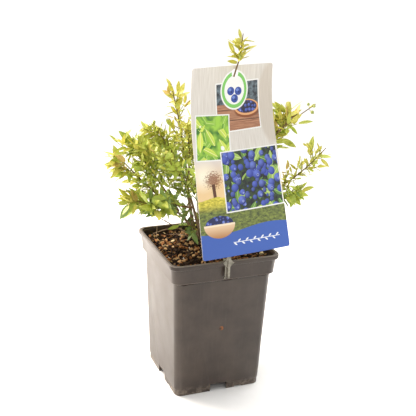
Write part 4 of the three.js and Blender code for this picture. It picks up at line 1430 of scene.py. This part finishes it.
def stems(grown):
    """The stem of every mass, from its limb's tip to the mass's furthest tip."""
    found = {}
    for name, (limb_name, spot, twigs, span, seed, fresh) in MASSES.items():
        limb = grown[limb_name]
        tip, ahead = along(limb["line"], 1)
        start = tip + ahead * TIP_GAP
        end = place_of(spot)
        leading = name == "foliage_top"
        path = threaded(start, end) if leading else sweep(start, ahead, end, CANE_KEEP)
        line = points_of(path, SOLID_STEPS["threaded" if leading else "stem"])
        found[name] = {
            "path": path,
            "line": line,
            "root": tip,
            "radii": (limb["radii"][1], STEM_TIP),
            "sites": sampled(line, STEM_SITES),
            "twigs": twigs,
            "span": span,
            "seed": seed,
            "fresh": fresh,
            "finer_seed": seed + FINER_SEED,
            "bare": BARE_STEMS.get(name, BARE),
            "spacing": LEAF_SPACING.get(name, 1),
            "leafage": LEAFAGE.get(name, 1),
        }
    return found


# Sites along a limb, and the places and pose of side twigs and leaves, as in the solids.
LIMB_SITES = 40
TWIG_SHARES = (0.08, 0.84)
TWIG_ANGLE = (48, 16)
TWIG_RISE = 0.28
TWIG_TURN = 137.5
TRIES = (0, 120, 240)  # turns tried in order until one has room
LEAF_TURN = 144
LEAF_ANGLE = 50

# How far growth keeps from other masses, limbs, the card and the rim, and how far it may pass the
# box of its own solid.
KEEP = {"foliage": 1.1, "limb": 1.2, "card": 1.6, "rim": 3}
REACH_SLACK = Vector((1.5, 1.5, 1.5))
LIMB_REACH = 4

# Short leafy twigs low on the limbs, and how far they keep from the pot and the compost.
LOW = {"twigs": 2, "span": 22, "angle": (40, 30), "fresh": 0.2, "share": 0.3, "seed": 61}
LOW_KEEP = {"reach": 64, "lip": 6, "soil": 9}
LOW_BUSH = {"fresh": LOW["fresh"], "spacing": 1, "leafage": 1}

# Old leaves on short shoots at the bush's foot: the cane, how far up it, and the shoot's tip.
SKIRT = {"seed": 77, "share": 0.5, "lift": 0.5}
SKIRT_BUSH = {"fresh": 0, "spacing": 1.5, "leafage": 0.9}
SKIRT_SHOOTS = (
    ("cane_front_left", 0.3, (-40, 2, 219)),
    ("cane_left_low", 0.16, (-23, 0, 208)),
    ("cane_back_right", 0.4, (34, 50, 214)),
)

# Radii of the shoots at their two ends.
SHOOT_RADII = {"twig": (0.8, 0.42), "spur": (0.5, 0.34), "low": (0.7, 0.4), "skirt": (0.8, 0.4)}

# The side twigs: how much shorter they are towards the tip, and how far they reach. Of two numbers
# that vary by chance, the second is the range above the first, here and below.
TWIG_TAPER = (1.1, 0.45)
TWIG_LENGTH = (0.75, 0.5)
TWIG_REACH = 0.9
TWIG_STEPS = 4
FIT_STEPS = 7
TWIG_ROOM = 0.3
FINER_SPAN = 0.62
SPURS = {"from": 18, "count": 2, "length": 0.5, "angle": (38, 18)}

# The leaves: where on a shoot they stand, and how they vary in size and pose.
STEM_LOOSE = 0.6  # how loose a stem's own leaves are, from 0 inside the bush to 1 at its outside
TWIG_BARE = 0.12
LEAF_ENDS = (0.95, 0.97)  # where the row of side leaves ends, and where the leaf at the tip stands
LEAF_JITTER = 0.3
TWIG_OUT = 0.25  # how much further out a twig's tip counts than its root
SPRAY_SIZE = (0.78, 0.44)
LEAF_SIZE = (0.66, 0.68)
LEAF_SPREAD = (0.62, 0.8)
TIP_ANGLE = 14
LEAF_LIFT = (0.25, -0.75)
LEAF_ROLL = 140
LEAF_ROOM = 0.2
FACING = {"up": 0.7, "ahead": 0.5}
FRESHER = {"share": 0.35, "spray": 0.5, "along": 0.2, "leaf": 0.4}  # what a leaf's tint varies by

# The stems that carry berries near their tips.
FRUITING = {"foliage_right", "foliage_left_mid", "foliage_left_second", "foliage_front_left"}
FRUITING |= {"foliage_right_low", "foliage_back_right", "foliage_back", "foliage_back_left"}
# How many berries a bunch has, where it hangs, and how its berries vary.
BUNCH = {"fewest": 3, "more": 3, "turn": 97}
BUNCH_AT = (0.91, 0.08)
BERRY = {"angle": (50, 30), "stalk": (3.2, 2), "radius": (1.9, 0.8)}

PACE = (0.6, 1.45)  # the leaf spacing at a stem's foot and at its tip, against the usual one
SIZE = (0.4, 1.28)  # the leaf's size there
GROWTH_CURVE = 1.8  # both grow slowly at first, and fast towards the tip
LARGEST = 1.2  # no leaf is larger than this, against the full-grown one
YOUNG = (1.1, 0.42)  # the leaf's size on the oldest growth, and how much less it is on the freshest


def tree_of(points):
    tree = KDTree(len(points))
    for i, point in enumerate(points):
        tree.insert(point, i)
    tree.balance()
    return tree


class Space:
    """The crown's rules of space for one mass: its own side of the crown, clear of limbs, pot
    and card, and within the reach that its solid has."""

    def __init__(self, name, found, limb_tree, limb_radii):
        others = [p for other, stem in found.items() if other != name for p in stem["sites"]]
        self.own = tree_of(found[name]["sites"])
        self.others = tree_of(others)
        self.limb_tree = limb_tree
        self.limb_radii = limb_radii
        low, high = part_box(name)
        self.low = low / MM - REACH_SLACK
        self.high = high / MM + REACH_SLACK

    def inside(self, point, margin):
        if self.own.find(point)[2] + margin > self.others.find(point)[2]:
            return False
        if any(not self.low[i] <= point[i] <= self.high[i] for i in range(3)):
            return False
        for _, i, away in self.limb_tree.find_range(point, LIMB_REACH):
            if away < self.limb_radii[i] + KEEP["limb"]:
                return False
        near = max(abs(point.x), abs(point.y)) < RIM_HALF + KEEP["rim"]
        return not (near and point.z < POT_HEIGHT + KEEP["rim"])

    def fits(self, points, margin=KEEP["foliage"]):
        return all(self.inside(p, margin) for p in points[1:]) and clear_of_card(points)


class LowSpace:
    """The rules of space for the short growth on a limb: clear of the other limbs, the pot and
    the card."""

    def __init__(self, limb, every_limb):
        others = [other for other in every_limb.values() if other is not limb]
        self.tree = tree_of([p for other in others for p in sampled(other["line"], LIMB_SITES)])

    def fits(self, points, margin=0):
        for point in points[1:]:
            if point.z < SOIL_Z + LOW_KEEP["soil"] or self.tree.find(point)[2] < LIMB_REACH:
                return False
            outside = max(abs(point.x), abs(point.y)) > LOW_KEEP["reach"]
            if outside and point.z < POT_HEIGHT + LOW_KEEP["lip"]:
                return False
        return clear_of_card(points)


def clear_of_card(points):
    """True where points all lie on one side of the card, or past its edges."""
    places = [card_place(p) for p in points]
    keep = KEEP["card"]
    over = any(
        abs(across) < CARD["foot"] / 2 + keep and -keep < up < CARD["height"] + keep
        for across, up, _ in places
    )
    behind = [back for _, _, back in places]
    return not over or min(behind) > keep or max(behind) < -keep


def varied(pair, draw):
    """A number picked by chance: the first of a pair, and up to the second more."""
    return pair[0] + pair[1] * draw()


def side_twigs(shoot, count, span, draw, space, margin, angle_range=TWIG_ANGLE):
    """The side twigs of a shoot, which curve up towards the light. One without room is left out."""
    twigs = []
    turn = draw() * 360
    for i in range(count):
        share = TWIG_SHARES[0] + TWIG_SHARES[1] * (i + 0.5 * draw()) / count
        length = span * (TWIG_TAPER[0] - TWIG_TAPER[1] * share) * varied(TWIG_LENGTH, draw)
        angle = varied(angle_range, draw)
        point, ahead = along(shoot["line"], share)
        turn += TWIG_TURN
        for extra in TRIES:
            away = branch_off(ahead, angle, turn + extra)
            end = point + away * length * TWIG_REACH
            end.z += length * TWIG_RISE
            path = sweep(point, away, end, TWIG_KEEP)
            if space.fits(points_of(path, FIT_STEPS), margin):
                line = points_of(path, TWIG_STEPS)
                twigs.append({"path": path, "line": line, "share": share, "length": length})
                break
    return twigs


def facing(away, ahead):
    """The way a leaf's upper side faces: square to the leaf and turned up to the light."""
    up = UP * FACING["up"] + ahead * FACING["ahead"]
    up -= away * up.dot(away)
    return square_to(away)[1] if up.length_squared < 1e-4 else up.normalized()


class Crown:
    """Grows every mass and keeps what it grew: shoots, leaves and berries."""

    def __init__(self, settings):
        self.length = settings.leaf_length / MM
        self.width = settings.leaf_width / MM
        self.pace = settings.leaf_pace / MM
        self.finer = settings.finer
        self.limbs = limbs()
        self.stems = stems(self.limbs)
        sites, radii = [], []
        for limb in self.limbs.values():
            sites += sampled(limb["line"], LIMB_SITES)
            radii += [limb["radii"][0]] * LIMB_SITES
        self.limb_tree = tree_of(sites)
        self.limb_radii = radii
        self.shoots = []
        self.leaves = []
        self.berries = []

    def grow_all(self):
        for name, stem in self.stems.items():
            self.grow(name, stem)
        for name, limb in self.limbs.items():
            self.grow_low(name, limb)
        self.grow_skirts()

    def grow_low(self, name, limb):
        """Short leafy twigs low in the bush, straight off a cane or bough."""
        draw = seeded(LOW["seed"] + len(name) * 7 + int(limb["radii"][0] * 100) + int(limb["line"][0].x))
        space = LowSpace(limb, self.limbs)
        shoot = {"line": limb["line"], "path": limb["path"]}
        for twig in side_twigs(shoot, LOW["twigs"], LOW["span"], draw, space, TWIG_ROOM, LOW["angle"]):
            self.shoots.append((twig, SHOOT_RADII["low"], 1))
            self.leaf_up(twig, LOW_BUSH, LOW["share"], draw, space)

    def grow_skirts(self):
        """Old leaves on short shoots near the foot of the canes, which hang over the compost."""
        draw = seeded(SKIRT["seed"])
        for name, share, tip in SKIRT_SHOOTS:
            limb = self.limbs[name]
            point, _ = along(limb["line"], share)
            out = Vector(tip) - point
            away = Vector((out.x, out.y, abs(out.z) + SKIRT["lift"] * out.length)).normalized()
            path = sweep(point, away, Vector(tip), TWIG_KEEP)
            shoot = {"path": path, "line": points_of(path, TWIG_STEPS)}
            self.shoots.append((shoot, SHOOT_RADII["skirt"], 1))
            self.leaf_up(shoot, SKIRT_BUSH, SKIRT["share"], draw, LowSpace(limb, self.limbs))

    def grow(self, name, stem):
        """One mass: the solids' own twigs, then finer ones, then leaves on all of them."""
        space = Space(name, self.stems, self.limb_tree, self.limb_radii)
        draw = seeded(stem["seed"])
        twigs = side_twigs(stem, stem["twigs"], stem["span"], draw, space, KEEP["foliage"])
        draw = seeded(stem["finer_seed"])
        extra = round(stem["twigs"] * FINER_TWIGS * self.finer)
        twigs += side_twigs(stem, extra, stem["span"] * FINER_SPAN, draw, space, TWIG_ROOM)
        low, high = TWIGGED.get(name, (0, 1))
        twigs = [twig for twig in twigs if low <= twig["share"] <= high]
        finer = []
        for twig in twigs:
            if twig["length"] > SPURS["from"]:
                span = twig["length"] * SPURS["length"]
                for spur in side_twigs(twig, SPURS["count"], span, draw, space, TWIG_ROOM, SPURS["angle"]):
                    spur["share"] = twig["share"]
                    finer.append(spur)
        self.shoots.append((stem, stem["radii"], 0))
        self.leaf_up(stem, stem, 1.0, draw, space)
        for twig in twigs:
            self.shoots.append((twig, SHOOT_RADII["twig"], 1))
            self.leaf_up(twig, stem, twig["share"], draw, space)
        for twig in finer:
            self.shoots.append((twig, SHOOT_RADII["spur"], 1))
            self.leaf_up(twig, stem, twig["share"], draw, space)
        if name in FRUITING:
            self.bear(stem, draw)

    def leaf_up(self, shoot, stem, share, draw, space):
        """Leaves set by turns along a shoot: small and close inside the bush, long and loose at its
        outside. The share says how far out on its stem the shoot stands."""
        line = shoot["line"]
        loose = (STEM_LOOSE if shoot is stem else share) ** GROWTH_CURVE
        pace = self.pace * (PACE[0] + (PACE[1] - PACE[0]) * loose)
        pace *= stem["spacing"]
        start = stem["bare"] if shoot is stem else TWIG_BARE
        count = max(2, int(length_of(line) * (1 - start) / pace))
        turn = draw() * 360
        spray = varied(SPRAY_SIZE, draw) * (YOUNG[0] - YOUNG[1] * stem["fresh"]) * stem["leafage"]
        fresh = stem["fresh"] + FRESHER["share"] * (share - 0.5) + FRESHER["spray"] * (draw() - 0.5)
        flush = draw()
        for i in range(count + 1):
            last = i == count
            if last:
                at = LEAF_ENDS[1]
            else:
                at = start + (LEAF_ENDS[0] - start) * (i + LEAF_JITTER * draw()) / count
            point, ahead = along(line, at)
            angle = TIP_ANGLE if last else LEAF_ANGLE * varied(LEAF_SPREAD, draw)
            out = at if shoot is stem else min(1, share + TWIG_OUT * at)
            usual = SIZE[0] + (SIZE[1] - SIZE[0]) * out**GROWTH_CURVE
            size = min(LARGEST, spray * usual * varied(LEAF_SIZE, draw))
            lift = varied(LEAF_LIFT, draw)
            roll = (draw() - 0.5) * LEAF_ROLL
            form = int(draw() * len(LEAF_FORMS))
            shade = FRESHER["leaf"] * (draw() - 0.5)
            turn += LEAF_TURN
            for extra in TRIES:
                away = branch_off(ahead, angle, turn + extra)
                away.z += lift
                away.normalize()
                tip = point + away * size * self.length
                middle = point + away * size * self.length * 0.5
                if space.fits([point, middle, tip], LEAF_ROOM):
                    face = Matrix.Rotation(math.radians(roll), 3, away) @ facing(away, ahead)
                    own_fresh = fresh + FRESHER["along"] * at + shade
                    self.leaves.append((point, away, face, size, form, own_fresh, flush))
                    break

    def bear(self, stem, draw):
        """A small bunch of unripe berries near a stem's tip."""
        for i in range(BUNCH["fewest"] + int(draw() * BUNCH["more"])):
            point, ahead = along(stem["line"], varied(BUNCH_AT, draw))
            away = branch_off(ahead, varied(BERRY["angle"], draw), i * BUNCH["turn"])
            stalk = varied(BERRY["stalk"], draw)
            self.berries.append((point, away, stalk, varied(BERRY["radius"], draw)))


# ---- Bark, twigs, leaves and berries -----------------------------------------------------------


def tube(points, radii, sides, relief=None):
    """The closed skin of a shoot: rings of points round its path, without twist."""
    count = len(points)
    path = np.array(points)
    ahead = np.gradient(path, axis=0)
    ahead /= np.linalg.norm(ahead, axis=1)[:, None]
    side = np.array(square_to(Vector(ahead[0]))[0])
    rings = []
    angles = np.arange(sides) * math.tau / sides
    for s in range(count):
        side = side - ahead[s] * side.dot(ahead[s])
        side /= np.linalg.norm(side)
        over = np.cross(ahead[s], side)
        radius = radii[s] * (relief(s, angles) if relief else np.ones(sides))
        ring = np.outer(np.cos(angles) * radius, side) + np.outer(np.sin(angles) * radius, over)
        rings.append(path[s] + ring)
    faces = []
    for s in range(count - 1):
        for i in range(sides):
            j = (i + 1) % sides
            a, b = s * sides, (s + 1) * sides
            faces.append([a + i, a + j, b + j, b + i])
    faces.append([i for i in reversed(range(sides))])
    faces.append([(count - 1) * sides + i for i in range(sides)])
    return np.concatenate(rings), faces


# A limb's skin against its radius: ridges, grain, and the scars of old leaves in millimetres.
RIDGES = {"high": 0.07, "twist": 0.22, "grain": 0.09, "sides": 16}
SCARS = {"first": 8, "apart": 13, "long": 1.3, "high": 0.3, "round": (0.45, 0.55)}


def bark_relief(draw, count, step):
    """Long ridges round a limb, and a swollen scar wherever an old leaf stood."""
    phase, waves = draw() * math.tau, 2 + int(draw() * 2)
    places = np.arange(SCARS["first"], count * step, SCARS["apart"])
    scars = {int(s / step + draw() * 2): draw() * math.tau for s in places}
    rough = np.array([[draw() for _ in range(RIDGES["sides"])] for _ in range(count)])

    def relief(s, angles):
        ridge = RIDGES["high"] * np.sin(waves * angles + phase + s * RIDGES["twist"])
        grain = RIDGES["grain"] * (rough[s][: len(angles)] - 0.5)
        swell = 0.0
        for at, heading in scars.items():
            near = math.exp(-(((s - at) * step / SCARS["long"]) ** 2))
            side, swing = SCARS["round"]
            swell = swell + SCARS["high"] * near * (side + swing * np.cos(angles - heading))
        return 1 + ridge + grain + swell

    return relief


def bark(name, code, second, crack):
    """Young wood: smooth thin bark, split lengthwise into pale flakes over a darker skin."""
    material, add, shader = new_material(name, linear(code), 0.82)
    place = add("TexCoord").outputs["Object"]
    tall = add("Mapping", {"Vector": place, "Scale": (1, 1, 0.22)})
    fibre = add("TexNoise", {"Vector": tall, "Scale": every(1.1), "Detail": 5, "Roughness": 0.65})
    tone = add("Mix", [add("MapRange", [fibre, 0.35, 0.68]), code, second])
    split = add("MapRange", [fibre, 0.34, 0.28])
    feed(shader.inputs["Base Color"], add("Mix", [split, tone, crack]))
    bump = add("Bump", {"Height": fibre, "Distance": 0.25 * MM, "Strength": 0.7})
    feed(shader.inputs["Normal"], bump)
    return material


def shoot_skin():
    """This year's wood: waxy green skin, faintly flushed."""
    return bark("green_shoot", "#8c9138", "#a9a24c", "#6e5a30")


RING_STEP = 1.6  # from ring to ring of a limb's bark
LEAST_RINGS = 6
LIMB_SIDES = 12  # must not pass the sides that RIDGES has grain for
FLARE = {"share": 0.15, "pace": 14}  # how much thicker a cane's foot is, and how soon that fades
ROOT_DEPTH = 3  # of a cane's foot in the compost


class BUSH_OT_canes(bpy.types.Operator):
    """Models the bark of every cane and bough, with its ridges, leaf scars and flared foot"""

    bl_idname = "bush.canes"
    bl_label = "Canes and boughs"

    def execute(self, context):
        draw = seeded(77)
        tubes = []
        for name, limb in limbs().items():
            root = limb.get("root", limb["path"](0) - UP * ROOT_DEPTH)
            steps = max(LEAST_RINGS, round(length_of(limb["line"]) / RING_STEP))
            points = [root, *points_of(limb["path"], steps)]
            shares = np.linspace(0, 1, len(points))
            radii = limb["radii"][0] + (limb["radii"][1] - limb["radii"][0]) * shares
            if name in CANES:
                radii = radii * (1 + FLARE["share"] * np.exp(-FLARE["pace"] * shares))
            relief = bark_relief(draw, len(points), RING_STEP)
            skin, faces = tube(points, radii, LIMB_SIDES, relief)
            tubes.append((skin, faces, 0 if name in CANES else 1))
        canes = gathered("cane_bark", tubes)
        smooth_by_angle(canes, 55)
        old = bark("grey_brown_bark", "#6b5540", "#a08a6c", "#3b2a1c")
        young = bark("red_brown_bark", "#6a4a30", "#957048", "#3f2a1a")
        dress(canes, "bark", old, young)
        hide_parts(*CANES, *BOUGHS)
        return {"FINISHED"}


# Leaf outlines: the width at shares of the length, and how much the leaf cups, bends and twists.
LEAF_RINGS = (0.0, 0.1, 0.26, 0.46, 0.66, 0.84, 1.0)
LEAF_WIDTHS = (0.0, 0.44, 0.86, 1.0, 0.86, 0.48, 0.0)
LEAF_FORMS = (
    {"cup": 0.16, "bend": 0.10, "twist": 0},
    {"cup": 0.22, "bend": 0.22, "twist": 14},
    {"cup": 0.10, "bend": -0.06, "twist": -12},
    {"cup": 0.28, "bend": 0.34, "twist": 8},
)
LEAF_THICK = 0.035  # of the leaf's width, on each side of its midrib
LEAF_SLIM = (0.85, 0.3)


def leaf_form(spec):
    """A leaf one unit long and one wide: a ball of four-sided rings, pressed flat, twisted and bent; it is
    cupped where it is placed.
    """
    deselect()
    rings = len(LEAF_RINGS) - 1
    bpy.ops.mesh.primitive_uv_sphere_add(
        segments=4, ring_count=rings, radius=0.5, rotation=(0, math.radians(90), 0)
    )
    leaf = started("leaf_form")
    to_mesh_place(leaf)
    bpy.ops.object.mode_set(mode="EDIT")
    bpy.ops.mesh.select_mode(type="VERT")
    for ring, (share, width) in enumerate(zip(LEAF_RINGS, LEAF_WIDTHS)):
        turn = math.pi * ring / rings
        x = -0.5 * math.cos(turn)
        radius = 0.5 * math.sin(turn)
        select_near(leaf, x)
        flat = width / 2 / radius if width else 1
        centre = (x, 0, 0)
        bpy.ops.transform.resize(value=(1, flat, LEAF_THICK / 0.5 * flat), center_override=centre)
        if width:
            turned = math.radians(spec["twist"]) * (share - 0.5)
            bpy.ops.transform.rotate(value=turned, orient_axis="X", center_override=centre)
        drop = -spec["bend"] * share**2
        bpy.ops.transform.translate(value=(share - x, 0, drop))
    bpy.ops.object.mode_set(mode="OBJECT")
    return form_of(leaf)


def select_near(piece, x):
    """Selects the ring of points at a place along the piece."""
    bpy.ops.mesh.select_all(action="DESELECT")
    bpy.ops.object.mode_set(mode="OBJECT")
    for vertex in piece.data.vertices:
        vertex.select = abs(vertex.co.x - x) < 1e-4
    bpy.ops.object.mode_set(mode="EDIT")


# The first tint, of the oldest leaves low and inside the bush, is darker partly as old leaves are and
# partly as painted shade of the bush's inside.
LEAF_TINTS = (
    ("old_leaf_with_painted_shade", "#576f2f", "#758c43"),
    ("mature_leaf", "#758f44", "#95ac5e"),
    ("green_leaf", "#98ac33", "#b4c255"),
    ("young_leaf", "#adb83e", "#c8cd62"),
    ("yellow_tip_leaf", "#c1bb40", "#d6cf66"),
    ("flushed_leaf", "#b79a4a", "#d2b96e"),
)
TINT_STEPS = (0.1, 0.3, 0.55, 0.85)  # how fresh a leaf is where it takes the next tint
FLUSH_SHARE = 0.08  # of the freshest sprays, how many are flushed with red


def leaf_skin(name, code, second):
    """A waxy leaf: satin cuticle, paler midrib and side veins, mottled between them."""
    material, add, shader = new_material(name, linear(code), 0.48, 1.45)
    uv = add("UVMap", uv_map="UVMap")
    sides = add("SeparateXYZ", [uv])
    aside = add("Math", [add("Math", [sides.outputs[1], 0.5], "SUBTRACT")], "ABSOLUTE")
    # Side veins leave the midrib every twelfth of the leaf, about 2 mm apart, and slant forward.
    slant = add("Math", [aside, -0.45, sides.outputs[0]], "MULTIPLY_ADD")
    vein = add("Math", [slant, 1 / 24], "PINGPONG")
    place = add("TexCoord").outputs["Object"]
    mottle = add("TexNoise", {"Vector": place, "Scale": every(3.8), "Detail": 3})
    tone = add("Mix", [add("MapRange", [mottle, 0.3, 0.7]), code, second])
    veined = add("Math", [add("MapRange", [vein, 0.008, 0]), 0.35], "MULTIPLY")
    tone = add("Mix", [veined, tone, second])
    tone = add("Mix", [add("MapRange", [aside, 0.07, 0.03]), tone, second])
    feed(shader.inputs["Base Color"], tone)
    bump = add("Bump", {"Height": vein, "Distance": 2 * MM, "Strength": 0.35})
    feed(shader.inputs["Normal"], bump)
    return material


def tint_of(fresh, chance):
    tint = sum(fresh > step for step in TINT_STEPS)
    return len(LEAF_TINTS) - 1 if tint == len(TINT_STEPS) and chance < FLUSH_SHARE else tint


# Rings along and sides round a shoot's skin.
STEM_TUBE = (28, 7)
TWIG_TUBE = (5, 5)
BERRY_STALK = {"radius": 0.3, "sides": 4}


class BUSH_OT_foliage(bpy.types.Operator):
    """Grows the twigs, leaves and unripe berries on from the limbs, by the rule of the solids"""

    bl_idname = "bush.foliage"
    bl_label = "Foliage"

    def execute(self, context):
        crown = Crown(context.scene.bush_plant)
        crown.grow_all()
        tubes = []
        for shoot, radii, kind in crown.shoots:
            steps, sides = STEM_TUBE if kind == 0 else TWIG_TUBE
            points = points_of(shoot["path"], steps)
            if "root" in shoot:
                points = [shoot["root"], *points]
            spread = np.linspace(radii[0], radii[1], len(points))
            skin, faces = tube(points, spread, sides)
            tubes.append((skin, faces, kind))
        for point, away, stalk, _ in crown.berries:
            line = [point, point + away * stalk * 0.5, point + away * stalk]
            skin, faces = tube(line, np.full(3, BERRY_STALK["radius"]), BERRY_STALK["sides"])
            tubes.append((skin, faces, 1))
        twigs = gathered("twigs", tubes)
        smooth_by_angle(twigs, 60)
        dress(twigs, "bark", bark("young_twig_bark", "#5d4728", "#80673c", "#3a2a17"), shoot_skin())
        leaves = leaves_piece(crown)
        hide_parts(*MASSES)
        berries_piece(crown)
        return {"FINISHED"}


def leaves_piece(crown):
    """Every leaf as one joined piece, with its tint dealt out by spray."""
    forms = [leaf_form(spec) for spec in LEAF_FORMS]
    draw = seeded(901)
    leaves, uvs = [], []
    for root, away, face, size, form, fresh, flush in crown.leaves:
        shape, shape_faces = forms[form]
        across = face.cross(away)
        slim = varied(LEAF_SLIM, draw)
        scale = (size * crown.length, size * crown.width * slim, size * crown.width)
        cup = LEAF_FORMS[form]["cup"] * np.abs(shape[:, 1:2]) * size * crown.width
        placed = shape * scale @ np.array([away, across, face]) + cup * np.array(face)
        leaves.append((placed + np.array(root), shape_faces, tint_of(fresh, flush)))
        uvs.append(shape[:, :2] + (0, 0.5))
    piece = gathered("leaves", leaves, np.concatenate(uvs))
    smooth_by_angle(piece, 50)
    dress(piece, "leaf", *(leaf_skin(*tint) for tint in LEAF_TINTS))
    return piece


# The crown of a berry one unit in radius: where it starts, and its rim's height, width and depth.
BERRY_CROWN = {"from": 0.8, "height": 0.22, "rim": 0.12, "depth": -0.2}


def berry_form():
    """A small ball whose top is pressed in to a crown."""
    deselect()
    bpy.ops.mesh.primitive_ico_sphere_add(subdivisions=2, radius=1)
    berry = started("berry_form")
    bpy.ops.object.mode_set(mode="EDIT")
    bpy.ops.mesh.select_mode(type="FACE")
    bpy.ops.mesh.select_all(action="DESELECT")
    bpy.ops.object.mode_set(mode="OBJECT")
    for face in berry.data.polygons:
        face.select = face.center.z > BERRY_CROWN["from"]
    bpy.ops.object.mode_set(mode="EDIT")
    rise = (0, 0, BERRY_CROWN["height"])
    bpy.ops.mesh.extrude_region_move(TRANSFORM_OT_translate={"value": rise})
    bpy.ops.mesh.inset(thickness=BERRY_CROWN["rim"], depth=BERRY_CROWN["depth"])
    bpy.ops.object.mode_set(mode="OBJECT")
    return form_of(berry)


BERRY_SINK = 0.8  # how far out on its stalk a berry's middle is, against its radius


def berries_piece(crown):
    """The unripe berries as one joined piece."""
    form, form_faces = berry_form()
    berries = []
    for root, away, stalk, radius in crown.berries:
        first, second = square_to(away)
        middle = np.array(root + away * (stalk + radius * BERRY_SINK))
        placed = form * radius @ np.array([first, second, away]) + middle
        berries.append((placed, form_faces, 0))
    piece = gathered("unripe_berries", berries)
    recalculate(piece)
    smooth_by_angle(piece, 40)
    material, add, shader = new_material("unripe_berry", linear("#a3ad55"), 0.4, 1.4)
    place = add("TexCoord").outputs["Object"]
    bloom = add("TexNoise", {"Vector": place, "Scale": every(2), "Detail": 3})
    tone = add("Mix", [add("MapRange", [bloom, 0.35, 0.7]), "#93a04a", "#c3c77c"])
    feed(shader.inputs["Base Color"], tone)
    dress(piece, "leaf", material)


# ---- Stage -------------------------------------------------------------------------------------

CAMERA = {
    "azimuth": -22.131,
    "elevation": 19.313,
    "distance": 1115.3,
    "target": (-0.125, 0, 240.3),
    "roll": 2.143,
    "lens": 73.1,
}


def view_camera():
    turn, rise = math.radians(CAMERA["azimuth"]), math.radians(CAMERA["elevation"])
    back = Vector((math.sin(turn) * math.cos(rise), -math.cos(turn) * math.cos(rise), math.sin(rise)))
    level = (-back).cross(UP).normalized()
    over = level.cross(-back)
    roll = math.radians(CAMERA["roll"])
    right = level * math.cos(roll) + over * math.sin(roll)
    up = over * math.cos(roll) - level * math.sin(roll)
    place = (Vector(CAMERA["target"]) + back * CAMERA["distance"]) * MM
    data = bpy.data.cameras.new("view_camera")
    data.lens = CAMERA["lens"]
    data.clip_start = 0.05
    camera = bpy.data.objects.new("view_camera", data)
    bpy.context.scene.collection.objects.link(camera)
    turned = Matrix((right, up, back)).transposed().to_4x4()
    camera.matrix_world = Matrix.Translation(place) @ turned
    bpy.context.scene.camera = camera


def lamp(kind, name, place, aim, power, **settings):
    """A lamp of a kind, turned to light a place."""
    data = bpy.data.lights.new(name, kind)
    data.energy = power
    for key, value in settings.items():
        setattr(data, key, value)
    piece = bpy.data.objects.new(name, data)
    bpy.context.scene.collection.objects.link(piece)
    piece.location = place
    piece.rotation_euler = (Vector(aim) - Vector(place)).to_track_quat("-Z", "Y").to_euler()
    return piece


# Where each lamp stands and what it is turned to, in metres.
OVERHEAD = ((-0.3, 0.35, 1.74), (0, 0, 0))
BACK = ((-0.38, 0.5, 0.62), (-0.3, 0.4, 0))
FLOOR = ((0.42, 0.02, 0.5), (0.42, 0, 0))


class BUSH_OT_stage(bpy.types.Operator):
    """Sets up the pale floor, the soft white studio light and the camera"""

    bl_idname = "bush.stage"
    bl_label = "Stage"

    def execute(self, context):
        settings = context.scene.bush_stage
        deselect()
        bpy.ops.mesh.primitive_plane_add(size=40)
        floor = started("studio_floor")
        material, add, shader = new_material("matt_white_board", linear("#f4f2ee"), 0.9)
        place = add("TexCoord").outputs["Object"]
        fleck = add("TexNoise", {"Vector": place, "Scale": every(17), "Detail": 3})
        tone = add("Mix", [fleck, "#f6f4f1", "#f1efeb"])
        feed(shader.inputs["Base Color"], tone)
        floor.data.materials.append(material)
        floor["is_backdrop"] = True
        world = bpy.data.worlds.new("white_surround")
        world.use_nodes = True
        background = world.node_tree.nodes["Background"]
        background.inputs["Color"].default_value = (1, 1, 1, 1)
        background.inputs["Strength"].default_value = settings.sky
        context.scene.world = world
        context.scene.view_settings.view_transform = "Standard"
        soft = math.radians(50)
        lamp("SUN", "overhead_light", *OVERHEAD, settings.overhead, angle=soft)
        warm = {"size": 0.5, "color": linear("#fff3e8")}
        lamp("AREA", "back_softbox", *BACK, settings.back, **warm)
        cone = {"size": 0.4, "spread": math.radians(100)}
        lamp("AREA", "floor_softbox", *FLOOR, settings.floor, **cone)
        view_camera()
        return {"FINISHED"}


# ---- The add-on --------------------------------------------------------------------------------

OPERATORS = (
    BUSH_OT_pot,
    BUSH_OT_compost,
    BUSH_OT_card,
    BUSH_OT_canes,
    BUSH_OT_foliage,
    BUSH_OT_stage,
)


class BUSH_PT_panel(bpy.types.Panel):
    """Lists the pieces of the bush in the sidebar"""

    bl_idname = "BUSH_PT_panel"
    bl_label = "Potted blueberry bush"
    bl_space_type = "VIEW_3D"
    bl_region_type = "UI"
    bl_category = "Bush"

    def draw(self, context):
        for operator in OPERATORS:
            self.layout.operator(operator.bl_idname)
        for key, group in SETTINGS.items():
            box = self.layout.box()
            for name in group.__annotations__:
                box.prop(getattr(context.scene, key), name)


def register():
    for group in SETTINGS.values():
        bpy.utils.register_class(group)
    for key, group in SETTINGS.items():
        setattr(bpy.types.Scene, key, bpy.props.PointerProperty(type=group))
    for operator in OPERATORS:
        bpy.utils.register_class(operator)
    bpy.utils.register_class(BUSH_PT_panel)


def unregister():
    bpy.utils.unregister_class(BUSH_PT_panel)
    for operator in reversed(OPERATORS):
        bpy.utils.unregister_class(operator)
    for key, group in SETTINGS.items():
        delattr(bpy.types.Scene, key)
        bpy.utils.unregister_class(group)


def main():
    register()
    bpy.ops.bush.pot()
    bpy.ops.bush.compost()
    bpy.ops.bush.card()
    bpy.ops.bush.canes()
    bpy.ops.bush.foliage()
    bpy.ops.bush.stage()
    deselect()
    boxes = {"cad": CAD_BOX, "visual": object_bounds()}
    boxes = {name: [list(corner) for corner in box] for name, box in boxes.items()}


if __name__ == "__main__":
    main()
